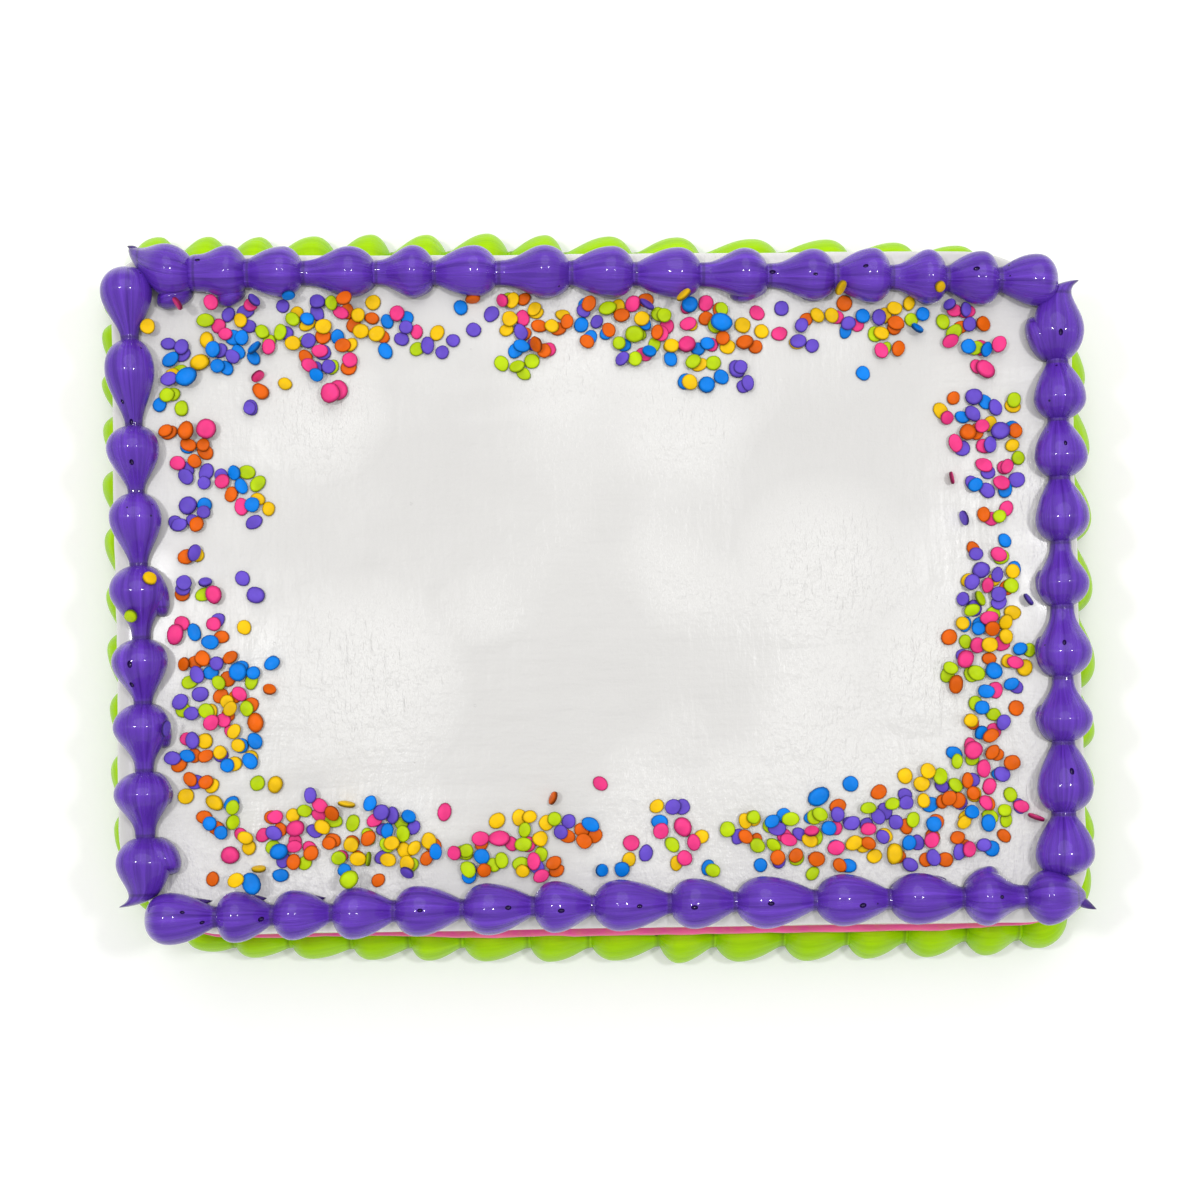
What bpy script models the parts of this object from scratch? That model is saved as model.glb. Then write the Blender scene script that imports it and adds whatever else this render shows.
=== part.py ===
"""Quarter sheet birthday cake with piped shell borders and confetti sprinkles.

Units are metres and +Z is up. The cake rests on z = 0, its long side runs along X and
its front faces -Y. The origin is the bottom centre of the whole cake with its borders.
"""
import math
import random
from dataclasses import dataclass

import bmesh
import bpy
from mathutils import Euler, Matrix, Vector

MM = 0.001

# Iced block: a slightly uneven rectangle with flared walls
CAKE_HEIGHT = 60 * MM
BACK_LEFT = (-167 * MM, 117 * MM)
BACK_RIGHT = (164.5 * MM, 114 * MM)
FRONT_RIGHT = (164.5 * MM, -116 * MM)
FRONT_LEFT = (-164 * MM, -116 * MM)
WALL_FLARE = 5 * MM
CORNER_ROUNDS = {BACK_LEFT: 14 * MM, BACK_RIGHT: 36 * MM, FRONT_RIGHT: 20 * MM, FRONT_LEFT: 36 * MM}
CORNER_SEGMENTS = 6
TOP_EDGE_ROUND = 5 * MM
TOP_EDGE_SEGMENTS = 3

# Icing pieces keep this distance from each other
GAP = 0.3 * MM

# Shells of one run differ in size by up to this share
SHELL_WOBBLE = 0.045
SHELL_SEED = 13

# Piped shell: from its head 0 to the next joint 1 it is widest here, and then thins to
# its neck over this stretch. The powers round off the ends of a tail and of a run's
# last tail.
SHELL_WIDEST = 0.37
SHELL_TAPER = 0.60
TAIL_CLOSING = 18
LAST_CLOSING = 8
LAST_NECK = 0.55

# Fold of icing that hangs from a head on its inner side: its stretch of the shell, how
# far in it lies at both ends and its girth, the last two over the shell's half width
LOBE_SPAN = (0.02, 0.64)
LOBE_OFFSET = (0.35, 0.70)
LOBE_GIRTH = 0.46
LOBE_TALLNESS = 1.35
LOBE_SIDES = 8
LOBE_RINGS = 5

# Side line: a thin piped thread round the wall, straight above the base border
LINE_HEIGHT = 26.2 * MM
LINE_RADIUS = 2.6 * MM
LINE_CORNER_STEPS = 6
LINE_FACETS = 2

# Confetti sprinkles: flat discs strewn in loose heaps inside the top border
SPRINKLE_RADIUS = 2.5 * MM
SPRINKLE_THICKNESS = 1.3 * MM
SPRINKLE_SINK = 0.5 * MM
SPRINKLE_SIDES = 7
SPRINKLE_SPACING = 5.4 * MM
SPRINKLE_TILT = math.radians(8)
SPRINKLE_SHARE = 0.14
SPRINKLE_TRIES = 60
SPRINKLE_SEED = 29
SPRINKLE_BORDER_GAP = 13.5 * MM

# A heap's sprinkles scatter round its centre with this share of its half width and depth
HEAP_SPREAD = 0.6

# Slab under the floor that flattens the underside of the base border
FLOOR_CUTTER = (600 * MM, 600 * MM, 50 * MM)


@dataclass(frozen=True)
class PipedRun:
    """One run of shells along a side of the cake, piped anticlockwise seen from above.

    start and end are the corners of the side's straight line. joints are the places
    where one shell's head meets the tail before it, in millimetres from the middle of
    the side in the piping direction, and the last of them is the run's pulled tip.
    drift and half_width are how far the run lies outside the line and how far its heads
    reach to each side, at its start, middle and end. neck is a tail's girth over its
    head's, and fall is the power with which a shell thins to it. tip is how far the
    last tail is pulled outwards and the power that keeps this to its end. lobes gives
    the shell and the relative size of each fold on the inner side. reach is a shell's
    whole length over the length that stays visible. bends are the radii with which the
    run goes on round the corners, or 0 for straight on. sides and rings are the faces
    round and along each shell.
    """

    name: str
    start: tuple
    end: tuple
    joints: tuple
    drift: tuple
    half_width: tuple
    neck: float
    fall: float
    tip: tuple
    lobes: tuple
    bends: tuple
    reach: float
    half_height: float
    lift: float
    base: float
    sides: int
    rings: int

    def place(self, distance):
        """Return the point on the run's line and its outward direction at a distance."""
        start, end = Vector(self.start), Vector(self.end)
        along = (end - start).normalized()
        outward = Vector((along.y, -along.x))
        bend = self.bends[distance > 0]
        straight = (end - start).length / 2 - bend
        if bend == 0 or abs(distance) <= straight:
            point = (start + end) / 2 + along * distance
        else:
            side = math.copysign(1, distance)
            angle = (abs(distance) - straight) / bend
            centre = (start + end) / 2 + along * straight * side - outward * bend
            outward = outward * math.cos(angle) + along * side * math.sin(angle)
            point = centre + outward * bend
        return point + outward * self.blend(self.drift, distance), outward

    def blend(self, values, distance):
        """Read a smooth curve through start, middle and end values at a distance."""
        first, last = self.joints[0] * MM, self.joints[-1] * MM
        share = (distance - first) / (last - first)
        start, middle, end = (value * MM for value in values)
        return (start * (1 - share) * (1 - 2 * share)
                + middle * 4 * share * (1 - share)
                + end * share * (2 * share - 1))


def spread_corner(corner, distance):
    """Move a corner of the plan away from the centre by distance on both axes."""
    return tuple(value + math.copysign(distance, value) for value in corner)


TOP_SHELL = {"bends": (0, 0), "reach": 1.22, "half_height": 8.2 * MM, "lift": 0.66,
             "base": CAKE_HEIGHT, "sides": 9, "rings": 6}
BASE_SHELL = {"neck": 0.57, "fall": 1.1, "tip": (0, 12), "lobes": (), "reach": 1.22,
              "half_height": 13.0 * MM, "lift": 0.62, "base": 0.0, "sides": 10, "rings": 6}

FOOT_BACK_LEFT = spread_corner(BACK_LEFT, WALL_FLARE)
FOOT_BACK_RIGHT = spread_corner(BACK_RIGHT, WALL_FLARE)
FOOT_FRONT_RIGHT = spread_corner(FRONT_RIGHT, WALL_FLARE)
FOOT_FRONT_LEFT = spread_corner(FRONT_LEFT, WALL_FLARE)

TOP_RUNS = (
    PipedRun("top_border_back", BACK_RIGHT, BACK_LEFT,
             (-161, -141, -123, -104, -85, -62, -39, -16, 6, 31, 53, 73, 98, 117, 135, 159),
             (-12, -8, -7.4), (9.2, 8.9, 8.9), 0.55, 1.0, (9, 3),
             ((5, 1.0), (13, 1.15), (14, 1.15)), **TOP_SHELL),
    PipedRun("top_border_left", BACK_LEFT, FRONT_LEFT,
             (-112, -87, -57, -34, -9, 16, 38, 61, 83, 107),
             (-6.4, -9.3, -10), (8.7, 9.2, 9.2), 0.35, 1.5, (9, 12),
             ((4, 1.05), (6, 1.0), (7, 1.05), (8, 1.25)), **TOP_SHELL),
    PipedRun("top_border_front", FRONT_LEFT, FRONT_RIGHT,
             (-155, -131, -112, -92, -71, -48, -24, -4, 22, 44, 71, 96, 121, 142, 163),
             (-5.5, -8, -8.5), (8.4, 8.6, 9.2), 0.42, 1.05, (2.5, 6), ((12, 1.1),), **TOP_SHELL),
    PipedRun("top_border_right", FRONT_RIGHT, BACK_RIGHT,
             (-100, -79, -55, -33, -9, 13, 35, 55, 75, 104),
             (-9, -6.8, -6), (9.6, 9.0, 9.2), 0.43, 1.0, (8, 12),
             ((3, 1.0), (4, 1.0), (8, 1.25)), **TOP_SHELL),
)

BASE_RUNS = (
    PipedRun("base_border_back", FOOT_BACK_RIGHT, FOOT_BACK_LEFT,
             (-166, -143, -121, -97, -71, -42, -17, 9, 29, 52, 73, 93, 115, 133, 152, 168),
             (1, 1, 1), (4.5, 12.0, 11.5), bends=(36 * MM, 14 * MM), **BASE_SHELL),
    PipedRun("base_border_left", FOOT_BACK_LEFT, FOOT_FRONT_LEFT,
             (-118, -104, -86, -70, -50, -30, -9, 10, 31, 53, 75, 96, 118),
             (1, 1, 1), (8.8, 7.5, 4.5), bends=(14 * MM, 36 * MM), **BASE_SHELL),
    PipedRun("base_border_front", FOOT_FRONT_LEFT, FOOT_FRONT_RIGHT,
             (-166, -151, -134, -114, -92, -71, -52, -28, -6, 19, 39, 64, 87, 108, 130, 149, 168),
             (1, 1, 1), (4.5, 11.3, 9.5), bends=(36 * MM, 20 * MM), **BASE_SHELL),
    PipedRun("base_border_right", FOOT_FRONT_RIGHT, FOOT_BACK_RIGHT,
             (-117, -95, -76, -59, -37, -9, 17, 43, 69, 94, 118),
             (1, 1, 1), (6, 10.0, 8), bends=(20 * MM, 36 * MM), **BASE_SHELL),
)

# Sprinkle heaps: centre x, centre y, half width, half depth and how many lie there
HEAPS = (
    (-146, 78, 9, 9, 20), (-122, 92, 12, 10, 25), (-93, 88, 15, 12, 50), (-63, 84, 14, 9, 15),
    (-24, 90, 10, 12, 25), (9, 88, 15, 12, 45), (36, 86, 15, 14, 40), (67, 87, 10, 7, 8),
    (98, 91, 15, 9, 35), (127, 82, 7, 15, 20), (133, 55, 10, 14, 25), (134, 29, 9, 9, 20),
    (134, 1, 12, 14, 35), (133, -24, 14, 14, 35), (131, -48, 10, 14, 20), (115, -76, 20, 14, 80),
    (77, -84, 17, 10, 60), (53, -87, 10, 9, 20), (23, -82, 10, 9, 15), (-26, -84, 20, 10, 50),
    (-68, -85, 17, 10, 50), (-99, -82, 15, 9, 35), (-126, -81, 10, 10, 10), (-127, 42, 15, 12, 25),
    (-139, 26, 9, 7, 12), (-138, 4, 9, 5, 10), (-124, -30, 14, 15, 70), (-133, -51, 12, 10, 25),
)

WHITE_ICING = ("white_icing", (0.80, 0.79, 0.77), 0.45)
PURPLE_ICING = ("purple_icing", (0.145, 0.052, 0.485), 0.32)
GREEN_ICING = ("green_icing", (0.37, 0.66, 0.003), 0.34)
PINK_ICING = ("pink_icing", (0.90, 0.09, 0.36), 0.36)


def clear_scene():
    """Remove every object of the open scene."""
    for obj in list(bpy.data.objects):
        bpy.data.objects.remove(obj, do_unlink=True)


def new_collection(name):
    """Return a new collection linked to the scene."""
    collection = bpy.data.collections.new(name)
    bpy.context.scene.collection.children.link(collection)
    return collection


def icing_material(finish):
    """Return a Principled material for an icing given as name, colour and roughness."""
    name, colour, roughness = finish
    material = bpy.data.materials.new(name)
    material.use_nodes = True
    shader = material.node_tree.nodes["Principled BSDF"]
    shader.inputs["Base Color"].default_value = (*colour, 1.0)
    shader.inputs["Roughness"].default_value = roughness
    shader.inputs["Metallic"].default_value = 0.0
    return material


def object_from_bmesh(name, mesh_data, collection):
    """Turn a bmesh into an object in a collection."""
    mesh = bpy.data.meshes.new(name)
    mesh_data.to_mesh(mesh)
    mesh_data.free()
    obj = bpy.data.objects.new(name, mesh)
    collection.objects.link(obj)
    return obj


def bake_modifiers(obj):
    """Replace an object's mesh by its evaluated mesh and drop its modifiers."""
    depsgraph = bpy.context.evaluated_depsgraph_get()
    mesh = bpy.data.meshes.new_from_object(obj.evaluated_get(depsgraph))
    obj.modifiers.clear()
    obj.data = mesh


def join_collection(obj, collection, solver="EXACT"):
    """Fuse all of a collection's objects to obj, then remove them."""
    union = obj.modifiers.new("fuse", "BOOLEAN")
    union.operation = "UNION"
    union.solver = solver
    union.operand_type = "COLLECTION"
    union.collection = collection
    bake_modifiers(obj)
    for part in list(collection.objects):
        bpy.data.objects.remove(part, do_unlink=True)
    bpy.data.collections.remove(collection)


def cut(obj, cutter):
    """Cut obj by one closed cutter, where heads meet the rounded corners at a graze."""
    difference = obj.modifiers.new("cut", "BOOLEAN")
    difference.operation = "DIFFERENCE"
    difference.solver = "MANIFOLD"
    difference.object = cutter
    bake_modifiers(obj)


def drop_scraps(obj):
    """Keep an object's largest connected body and delete the crumbs that a cut left."""
    body = bmesh.new()
    body.from_mesh(obj.data)
    unseen = set(body.verts)
    pieces = []
    while unseen:
        front = [unseen.pop()]
        piece = set(front)
        while front:
            neighbours = {edge.other_vert(vert) for vert in front for edge in vert.link_edges}
            front = list(neighbours & unseen)
            piece.update(front)
            unseen.difference_update(front)
        pieces.append(piece)
    pieces.sort(key=len)
    for piece in pieces[:-1]:
        bmesh.ops.delete(body, geom=list(piece), context="VERTS")
    body.to_mesh(obj.data)
    body.free()


def as_cutter(obj):
    """Mark an object as a hidden cutting tool."""
    obj.hide_render = True
    obj.display_type = "WIRE"
    return obj


def cake_block(grow=0.0):
    """Return a bmesh of the iced block, grown on every side but the bottom."""
    block = bmesh.new()
    bmesh.ops.create_cube(block, size=1.0)
    corners = {(-1, 1): BACK_LEFT, (1, 1): BACK_RIGHT, (1, -1): FRONT_RIGHT, (-1, -1): FRONT_LEFT}
    for vert in block.verts:
        side = (int(math.copysign(1, vert.co.x)), int(math.copysign(1, vert.co.y)))
        on_top = vert.co.z > 0
        x, y = spread_corner(corners[side], grow if on_top else grow + WALL_FLARE)
        vert.co = Vector((x, y, CAKE_HEIGHT + grow if on_top else -grow))
    for corner, radius in CORNER_ROUNDS.items():
        upright = [edge for edge in block.edges
                   if abs(edge.verts[0].co.z - edge.verts[1].co.z) > CAKE_HEIGHT / 2]
        nearest = min(upright, key=lambda edge: (edge.verts[0].co.xy - Vector(corner)).length)
        bmesh.ops.bevel(block, geom=[nearest], offset=radius, offset_type="OFFSET",
                        segments=CORNER_SEGMENTS, profile=0.5, affect="EDGES", material=-1)
    rim = [edge for edge in block.edges
           if min(vert.co.z for vert in edge.verts) > CAKE_HEIGHT / 2]
    bmesh.ops.bevel(block, geom=rim, offset=TOP_EDGE_ROUND, offset_type="OFFSET",
                    segments=TOP_EDGE_SEGMENTS, profile=0.5, affect="EDGES", material=-1)
    return block


def shell_profile(place, neck, fall):
    """Return a shell's relative girth at a place from its head 0 to the next joint 1."""
    if place < SHELL_WIDEST:
        return math.sqrt(1 - (1 - place / SHELL_WIDEST) ** 2)
    thinning = min(1.0, (place - SHELL_WIDEST) / SHELL_TAPER)
    return neck + (1 - neck) * math.cos(math.pi / 2 * thinning) ** fall


def shaped_sphere(sides, rings, surface):
    """Return a bmesh of a sphere whose points surface(share, angle) has placed.

    The sphere's poles become a shell's head, at share 0, and its tail, at share 1, and
    the angle runs round it from the outer side over the top.
    """
    body = bmesh.new()
    bmesh.ops.create_uvsphere(body, u_segments=sides, v_segments=rings, radius=1.0)
    for vert in body.verts:
        share = (1 - max(-1.0, min(1.0, vert.co.z))) / 2
        vert.co = surface(share, math.atan2(vert.co.y, vert.co.x))
    body.normal_update()
    bmesh.ops.recalc_face_normals(body, faces=body.faces)
    return body


def shell_body(run, index, size, grow=0.0):
    """Return a bmesh of one piped shell: a round head that thins to a neck."""
    head = run.joints[index] * MM
    length = run.joints[index + 1] * MM - head
    last = index == len(run.joints) - 2
    reach, neck, pull = (1.0, LAST_NECK, run.tip[0] * MM) if last else (run.reach, run.neck, 0.0)
    closing = LAST_CLOSING if last else TAIL_CLOSING

    def surface(share, angle):
        distance = head + length * reach * share + grow * (2 * share - 1)
        girth = shell_profile(share * reach, neck, run.fall) * math.sqrt(1 - share ** closing) * size
        half_width = run.blend(run.half_width, distance) * girth
        aside = (half_width + grow) * math.cos(angle) + pull * share ** run.tip[1]
        return on_run(run, distance, aside, run.half_height * girth, grow, angle)

    return shaped_sphere(run.sides, run.rings, surface)


def lobe_body(run, index, size, scale):
    """Return a bmesh of the fold on the inner side of one shell."""
    head = run.joints[index] * MM
    length = run.joints[index + 1] * MM - head
    begin, end = LOBE_SPAN

    def surface(share, angle):
        distance = head + length * (begin + (end - begin) * share)
        widest = run.blend(run.half_width, distance) * size
        girth = LOBE_GIRTH * scale * 2 * math.sqrt(share * (1 - share))
        offset = LOBE_OFFSET[0] + (LOBE_OFFSET[1] * scale - LOBE_OFFSET[0]) * share
        aside = widest * (girth * math.cos(angle) - offset)
        height = run.half_height * size * girth * LOBE_TALLNESS
        return on_run(run, distance, aside, height, 0.0, angle)

    return shaped_sphere(LOBE_SIDES, LOBE_RINGS, surface)


def on_run(run, distance, aside, height, grow, angle):
    """Return the point aside of the run's line and as high as a body of half height has it."""
    point, outward = run.place(distance)
    plan = point + outward * aside
    return Vector((plan.x, plan.y, run.base + run.lift * height + (height + grow) * math.sin(angle)))


def shell_sizes(runs):
    """Return each run's relative shell sizes, drawn once for all runs."""
    draw = random.Random(SHELL_SEED)
    return {run.name: [1 + draw.uniform(-SHELL_WOBBLE, SHELL_WOBBLE) for _ in run.joints[1:]]
            for run in runs}


def piped_run(run, sizes, collection):
    """Return one run of shells fused into a single body."""
    shells = new_collection(run.name + "_shells")
    for index in range(1, len(run.joints) - 1):
        object_from_bmesh(run.name + "_shell", shell_body(run, index, sizes[index]), shells)
    for index, scale in run.lobes:
        lobe = lobe_body(run, index, sizes[index], scale)
        object_from_bmesh(run.name + "_lobe", lobe, shells)
    border = object_from_bmesh(run.name, shell_body(run, 0, sizes[0]), collection)
    join_collection(border, shells, "MANIFOLD")
    return border


def floor_cutter(cutters):
    """Return a slab under the floor that gives the base border its flat underside."""
    slab = bmesh.new()
    bmesh.ops.create_cube(slab, size=1.0)
    bmesh.ops.scale(slab, verts=slab.verts, vec=FLOOR_CUTTER)
    bmesh.ops.translate(slab, verts=slab.verts, vec=(0, 0, -FLOOR_CUTTER[2] / 2))
    return as_cutter(object_from_bmesh("floor_cutter", slab, cutters))


def build_borders(runs, material, cake_cutter, floor, collection, cutters):
    """Build four runs, each cut by the cake and by the next run's covering heads."""
    sizes = shell_sizes(runs)
    for place, run in enumerate(runs):
        border = piped_run(run, sizes[run.name], collection)
        cut(border, cake_cutter)
        if floor is not None:
            cut(border, floor)
        following = runs[(place + 1) % len(runs)]
        for index in (0, 1):
            head = shell_body(following, index, sizes[following.name][index], GAP)
            cutter = as_cutter(object_from_bmesh(following.name + "_head", head, cutters))
            cut(border, cutter)
        drop_scraps(border)
        border.data.materials.clear()
        border.data.materials.append(material)


def wall_outline(height):
    """Return the wall's outline at a height as points that run round rounded corners."""
    spread = WALL_FLARE * (1 - height / CAKE_HEIGHT)
    points = []
    for quarter, corner in enumerate((FRONT_LEFT, FRONT_RIGHT, BACK_RIGHT, BACK_LEFT)):
        radius = CORNER_ROUNDS[corner]
        centre = Vector([value - math.copysign(radius - spread, value) for value in corner])
        for step in range(LINE_CORNER_STEPS + 1):
            angle = math.pi * (1 + quarter / 2) + math.pi / 2 * step / LINE_CORNER_STEPS
            points.append(centre + radius * Vector((math.cos(angle), math.sin(angle))))
    return points


def side_line(material, cake_cutter, collection):
    """Build the thread of icing that runs round the wall."""
    curve = bpy.data.curves.new("side_line", "CURVE")
    curve.dimensions = "3D"
    curve.bevel_depth = LINE_RADIUS
    curve.bevel_resolution = LINE_FACETS
    outline = wall_outline(LINE_HEIGHT)
    spline = curve.splines.new("POLY")
    spline.points.add(len(outline) - 1)
    for point, (x, y) in zip(spline.points, outline):
        point.co = (x, y, LINE_HEIGHT, 1.0)
    spline.use_cyclic_u = True
    guide = bpy.data.objects.new("side_line_guide", curve)
    collection.objects.link(guide)
    depsgraph = bpy.context.evaluated_depsgraph_get()
    mesh = bpy.data.meshes.new_from_object(guide.evaluated_get(depsgraph))
    bpy.data.objects.remove(guide, do_unlink=True)
    line = bpy.data.objects.new("side_line", mesh)
    collection.objects.link(line)
    cut(line, cake_cutter)
    line.data.materials.clear()
    line.data.materials.append(material)


def inside_border(x, y):
    """Tell whether a sprinkle at x, y stays clear of the top border."""
    for run in TOP_RUNS:
        start, end = Vector(run.start), Vector(run.end)
        along = (end - start).normalized()
        offset = Vector((x, y)) - (start + end) / 2
        point, outward = run.place(offset.dot(along))
        if (point - Vector((x, y))).dot(outward) < SPRINKLE_BORDER_GAP:
            return False
    return True


def sprinkle_places():
    """Draw the places of the sprinkles, heap by heap, none closer than the spacing."""
    draw = random.Random(SPRINKLE_SEED)
    places = []
    for centre_x, centre_y, half_width, half_depth, count in HEAPS:
        for _ in range(round(count * SPRINKLE_SHARE)):
            for _ in range(SPRINKLE_TRIES):
                x = (centre_x + draw.gauss(0, HEAP_SPREAD) * half_width) * MM
                y = (centre_y + draw.gauss(0, HEAP_SPREAD) * half_depth) * MM
                apart = all(math.hypot(x - px, y - py) > SPRINKLE_SPACING for px, py in places)
                if apart and inside_border(x, y):
                    places.append((x, y))
                    break
    return places


def sprinkle_disc(x, y, draw):
    """Return a bmesh of one flat disc, sunk a little into the icing."""
    disc = bmesh.new()
    depth = SPRINKLE_THICKNESS + SPRINKLE_SINK
    bmesh.ops.create_cone(disc, cap_ends=True, segments=SPRINKLE_SIDES, radius1=SPRINKLE_RADIUS,
                          radius2=SPRINKLE_RADIUS, depth=depth)
    turn = Euler((draw.uniform(-SPRINKLE_TILT, SPRINKLE_TILT),
                  draw.uniform(-SPRINKLE_TILT, SPRINKLE_TILT),
                  draw.uniform(0, math.tau))).to_matrix()
    bmesh.ops.rotate(disc, verts=disc.verts, matrix=turn)
    bmesh.ops.translate(disc, verts=disc.verts, vec=(x, y, CAKE_HEIGHT + depth / 2 - SPRINKLE_SINK))
    return disc


def build_cake(material, collection):
    """Build the iced block with its sprinkles fused to the top."""
    cake = object_from_bmesh("cake", cake_block(), collection)
    sprinkles = new_collection("sprinkles")
    draw = random.Random(SPRINKLE_SEED)
    for x, y in sprinkle_places():
        object_from_bmesh("sprinkle", sprinkle_disc(x, y, draw), sprinkles)
    join_collection(cake, sprinkles)
    cake.data.materials.clear()
    cake.data.materials.append(material)


def centre_plan(collection):
    """Shift every part so that the cake's box is centred on the origin in X and Y."""
    points = [vert.co for obj in collection.objects for vert in obj.data.vertices]
    shift = [-(min(p[axis] for p in points) + max(p[axis] for p in points)) / 2 for axis in (0, 1)]
    for obj in collection.objects:
        obj.data.transform(Matrix.Translation((*shift, 0)))


def main():
    """Build the whole cake."""
    clear_scene()
    parts = new_collection("birthday_sheet_cake")
    cutters = new_collection("cutters")
    cake_cutter = as_cutter(object_from_bmesh("cake_cutter", cake_block(GAP), cutters))
    floor = floor_cutter(cutters)
    build_cake(icing_material(WHITE_ICING), parts)
    build_borders(TOP_RUNS, icing_material(PURPLE_ICING), cake_cutter, None, parts, cutters)
    build_borders(BASE_RUNS, icing_material(GREEN_ICING), cake_cutter, floor, parts, cutters)
    side_line(icing_material(PINK_ICING), cake_cutter, parts)
    centre_plan(parts)


main()
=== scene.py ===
"""Looks of an iced birthday sheet cake with piped borders and confetti sprinkles.

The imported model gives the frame: metres, +Z up, the front facing -Y. Places in the plan
are written in millimetres from the middle of the iced block, as the cake was drawn, and
`Plan` moves them to the frame's origin.
"""
import logging
import math
import random
from collections.abc import Callable, Iterable
from dataclasses import dataclass, field
from enum import Enum
from functools import partial

import bmesh
import bpy
import numpy as np
from mathutils import Matrix, Vector, noise
from mathutils.bvhtree import BVHTree


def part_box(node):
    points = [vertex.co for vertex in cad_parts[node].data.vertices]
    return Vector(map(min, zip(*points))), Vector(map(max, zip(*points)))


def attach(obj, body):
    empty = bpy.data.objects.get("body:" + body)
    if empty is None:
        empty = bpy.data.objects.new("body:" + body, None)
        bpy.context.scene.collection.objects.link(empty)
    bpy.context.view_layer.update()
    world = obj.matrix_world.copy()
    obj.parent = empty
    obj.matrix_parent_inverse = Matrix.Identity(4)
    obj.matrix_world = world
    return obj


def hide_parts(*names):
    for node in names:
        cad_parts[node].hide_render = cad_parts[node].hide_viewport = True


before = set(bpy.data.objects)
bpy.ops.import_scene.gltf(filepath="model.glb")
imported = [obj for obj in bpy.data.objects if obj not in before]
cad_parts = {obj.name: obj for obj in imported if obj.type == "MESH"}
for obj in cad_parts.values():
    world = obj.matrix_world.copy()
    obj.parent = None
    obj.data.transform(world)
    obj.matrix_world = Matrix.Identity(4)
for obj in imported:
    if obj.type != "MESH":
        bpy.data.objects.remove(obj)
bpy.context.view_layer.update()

logging.basicConfig(level=logging.INFO, format="%(levelname)s %(message)s")
LOG = logging.getLogger("sheet_cake")

MM = 0.001
BODY = "root"


class Icing(Enum):
    """The record's material slot of each icing."""

    WHITE = "white_icing"
    PURPLE = "purple_icing"
    GREEN = "green_icing"
    PINK = "pink_icing"


class Side(Enum):
    """The four sides of the cake, seen from the front."""

    BACK = "back"
    LEFT = "left"
    FRONT = "front"
    RIGHT = "right"


def add_object(name: str, body: bmesh.types.BMesh) -> bpy.types.Object:
    """Turn a bmesh into an object of the scene.

    Args:
        name: Name of the object and its mesh.
        body: The bmesh, which is freed.

    Returns:
        The new object at the origin.
    """
    mesh = bpy.data.meshes.new(name)
    body.to_mesh(mesh)
    body.free()
    obj = bpy.data.objects.new(name, mesh)
    bpy.context.scene.collection.objects.link(obj)
    return obj


def smooth_but_sharp(obj: bpy.types.Object, degrees: float) -> None:
    """Shade an object smooth apart from edges sharper than an angle in degrees."""
    obj.data.shade_smooth()
    obj.data.set_sharp_from_angle(angle=math.radians(degrees))


def finished_body(obj: bpy.types.Object, *used: bpy.types.Object) -> bmesh.types.BMesh:
    """Read an object's finished shape and remove it.

    Args:
        obj: The object, with its modifiers or its bevelled curve.
        used: Objects that its modifiers used, which are removed too.

    Returns:
        The shape as a bmesh.
    """
    depsgraph = bpy.context.evaluated_depsgraph_get()
    mesh = bpy.data.meshes.new_from_object(obj.evaluated_get(depsgraph))
    for each in (obj, *used):
        bpy.data.objects.remove(each, do_unlink=True)
    body = bmesh.new()
    body.from_mesh(mesh)
    bpy.data.meshes.remove(mesh)
    return body


def fuse(name: str, bodies: Iterable[bmesh.types.BMesh], degrees: float) -> bpy.types.Object:
    """Join bodies that are drawn in the plan's millimetres into one object in its place.

    Args:
        name: Name of the object.
        bodies: The bmeshes, which are freed.
        degrees: Angle from which an edge stays sharp.

    Returns:
        The object in metres.
    """
    whole = bmesh.new()
    for body in bodies:
        mesh = bpy.data.meshes.new("body")
        body.to_mesh(mesh)
        body.free()
        whole.from_mesh(mesh)
        bpy.data.meshes.remove(mesh)
    bmesh.ops.scale(whole, verts=whole.verts, vec=(MM, MM, MM))
    bmesh.ops.translate(whole, verts=whole.verts, vec=PLAN.shift())
    obj = add_object(name, whole)
    smooth_but_sharp(obj, degrees)
    return obj


def finish_piece(obj: bpy.types.Object, material: bpy.types.Material, node: str) -> None:
    """Give a piece its material, let it stand for a CAD node and report it.

    Args:
        obj: The piece.
        material: Its material.
        node: The CAD node that it replaces.
    """
    obj.data.materials.clear()
    obj.data.materials.append(material)
    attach(obj, BODY)
    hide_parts(node)
    LOG.info("%s: %d faces", obj.name, len(obj.data.polygons))


# Shader groups


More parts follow.
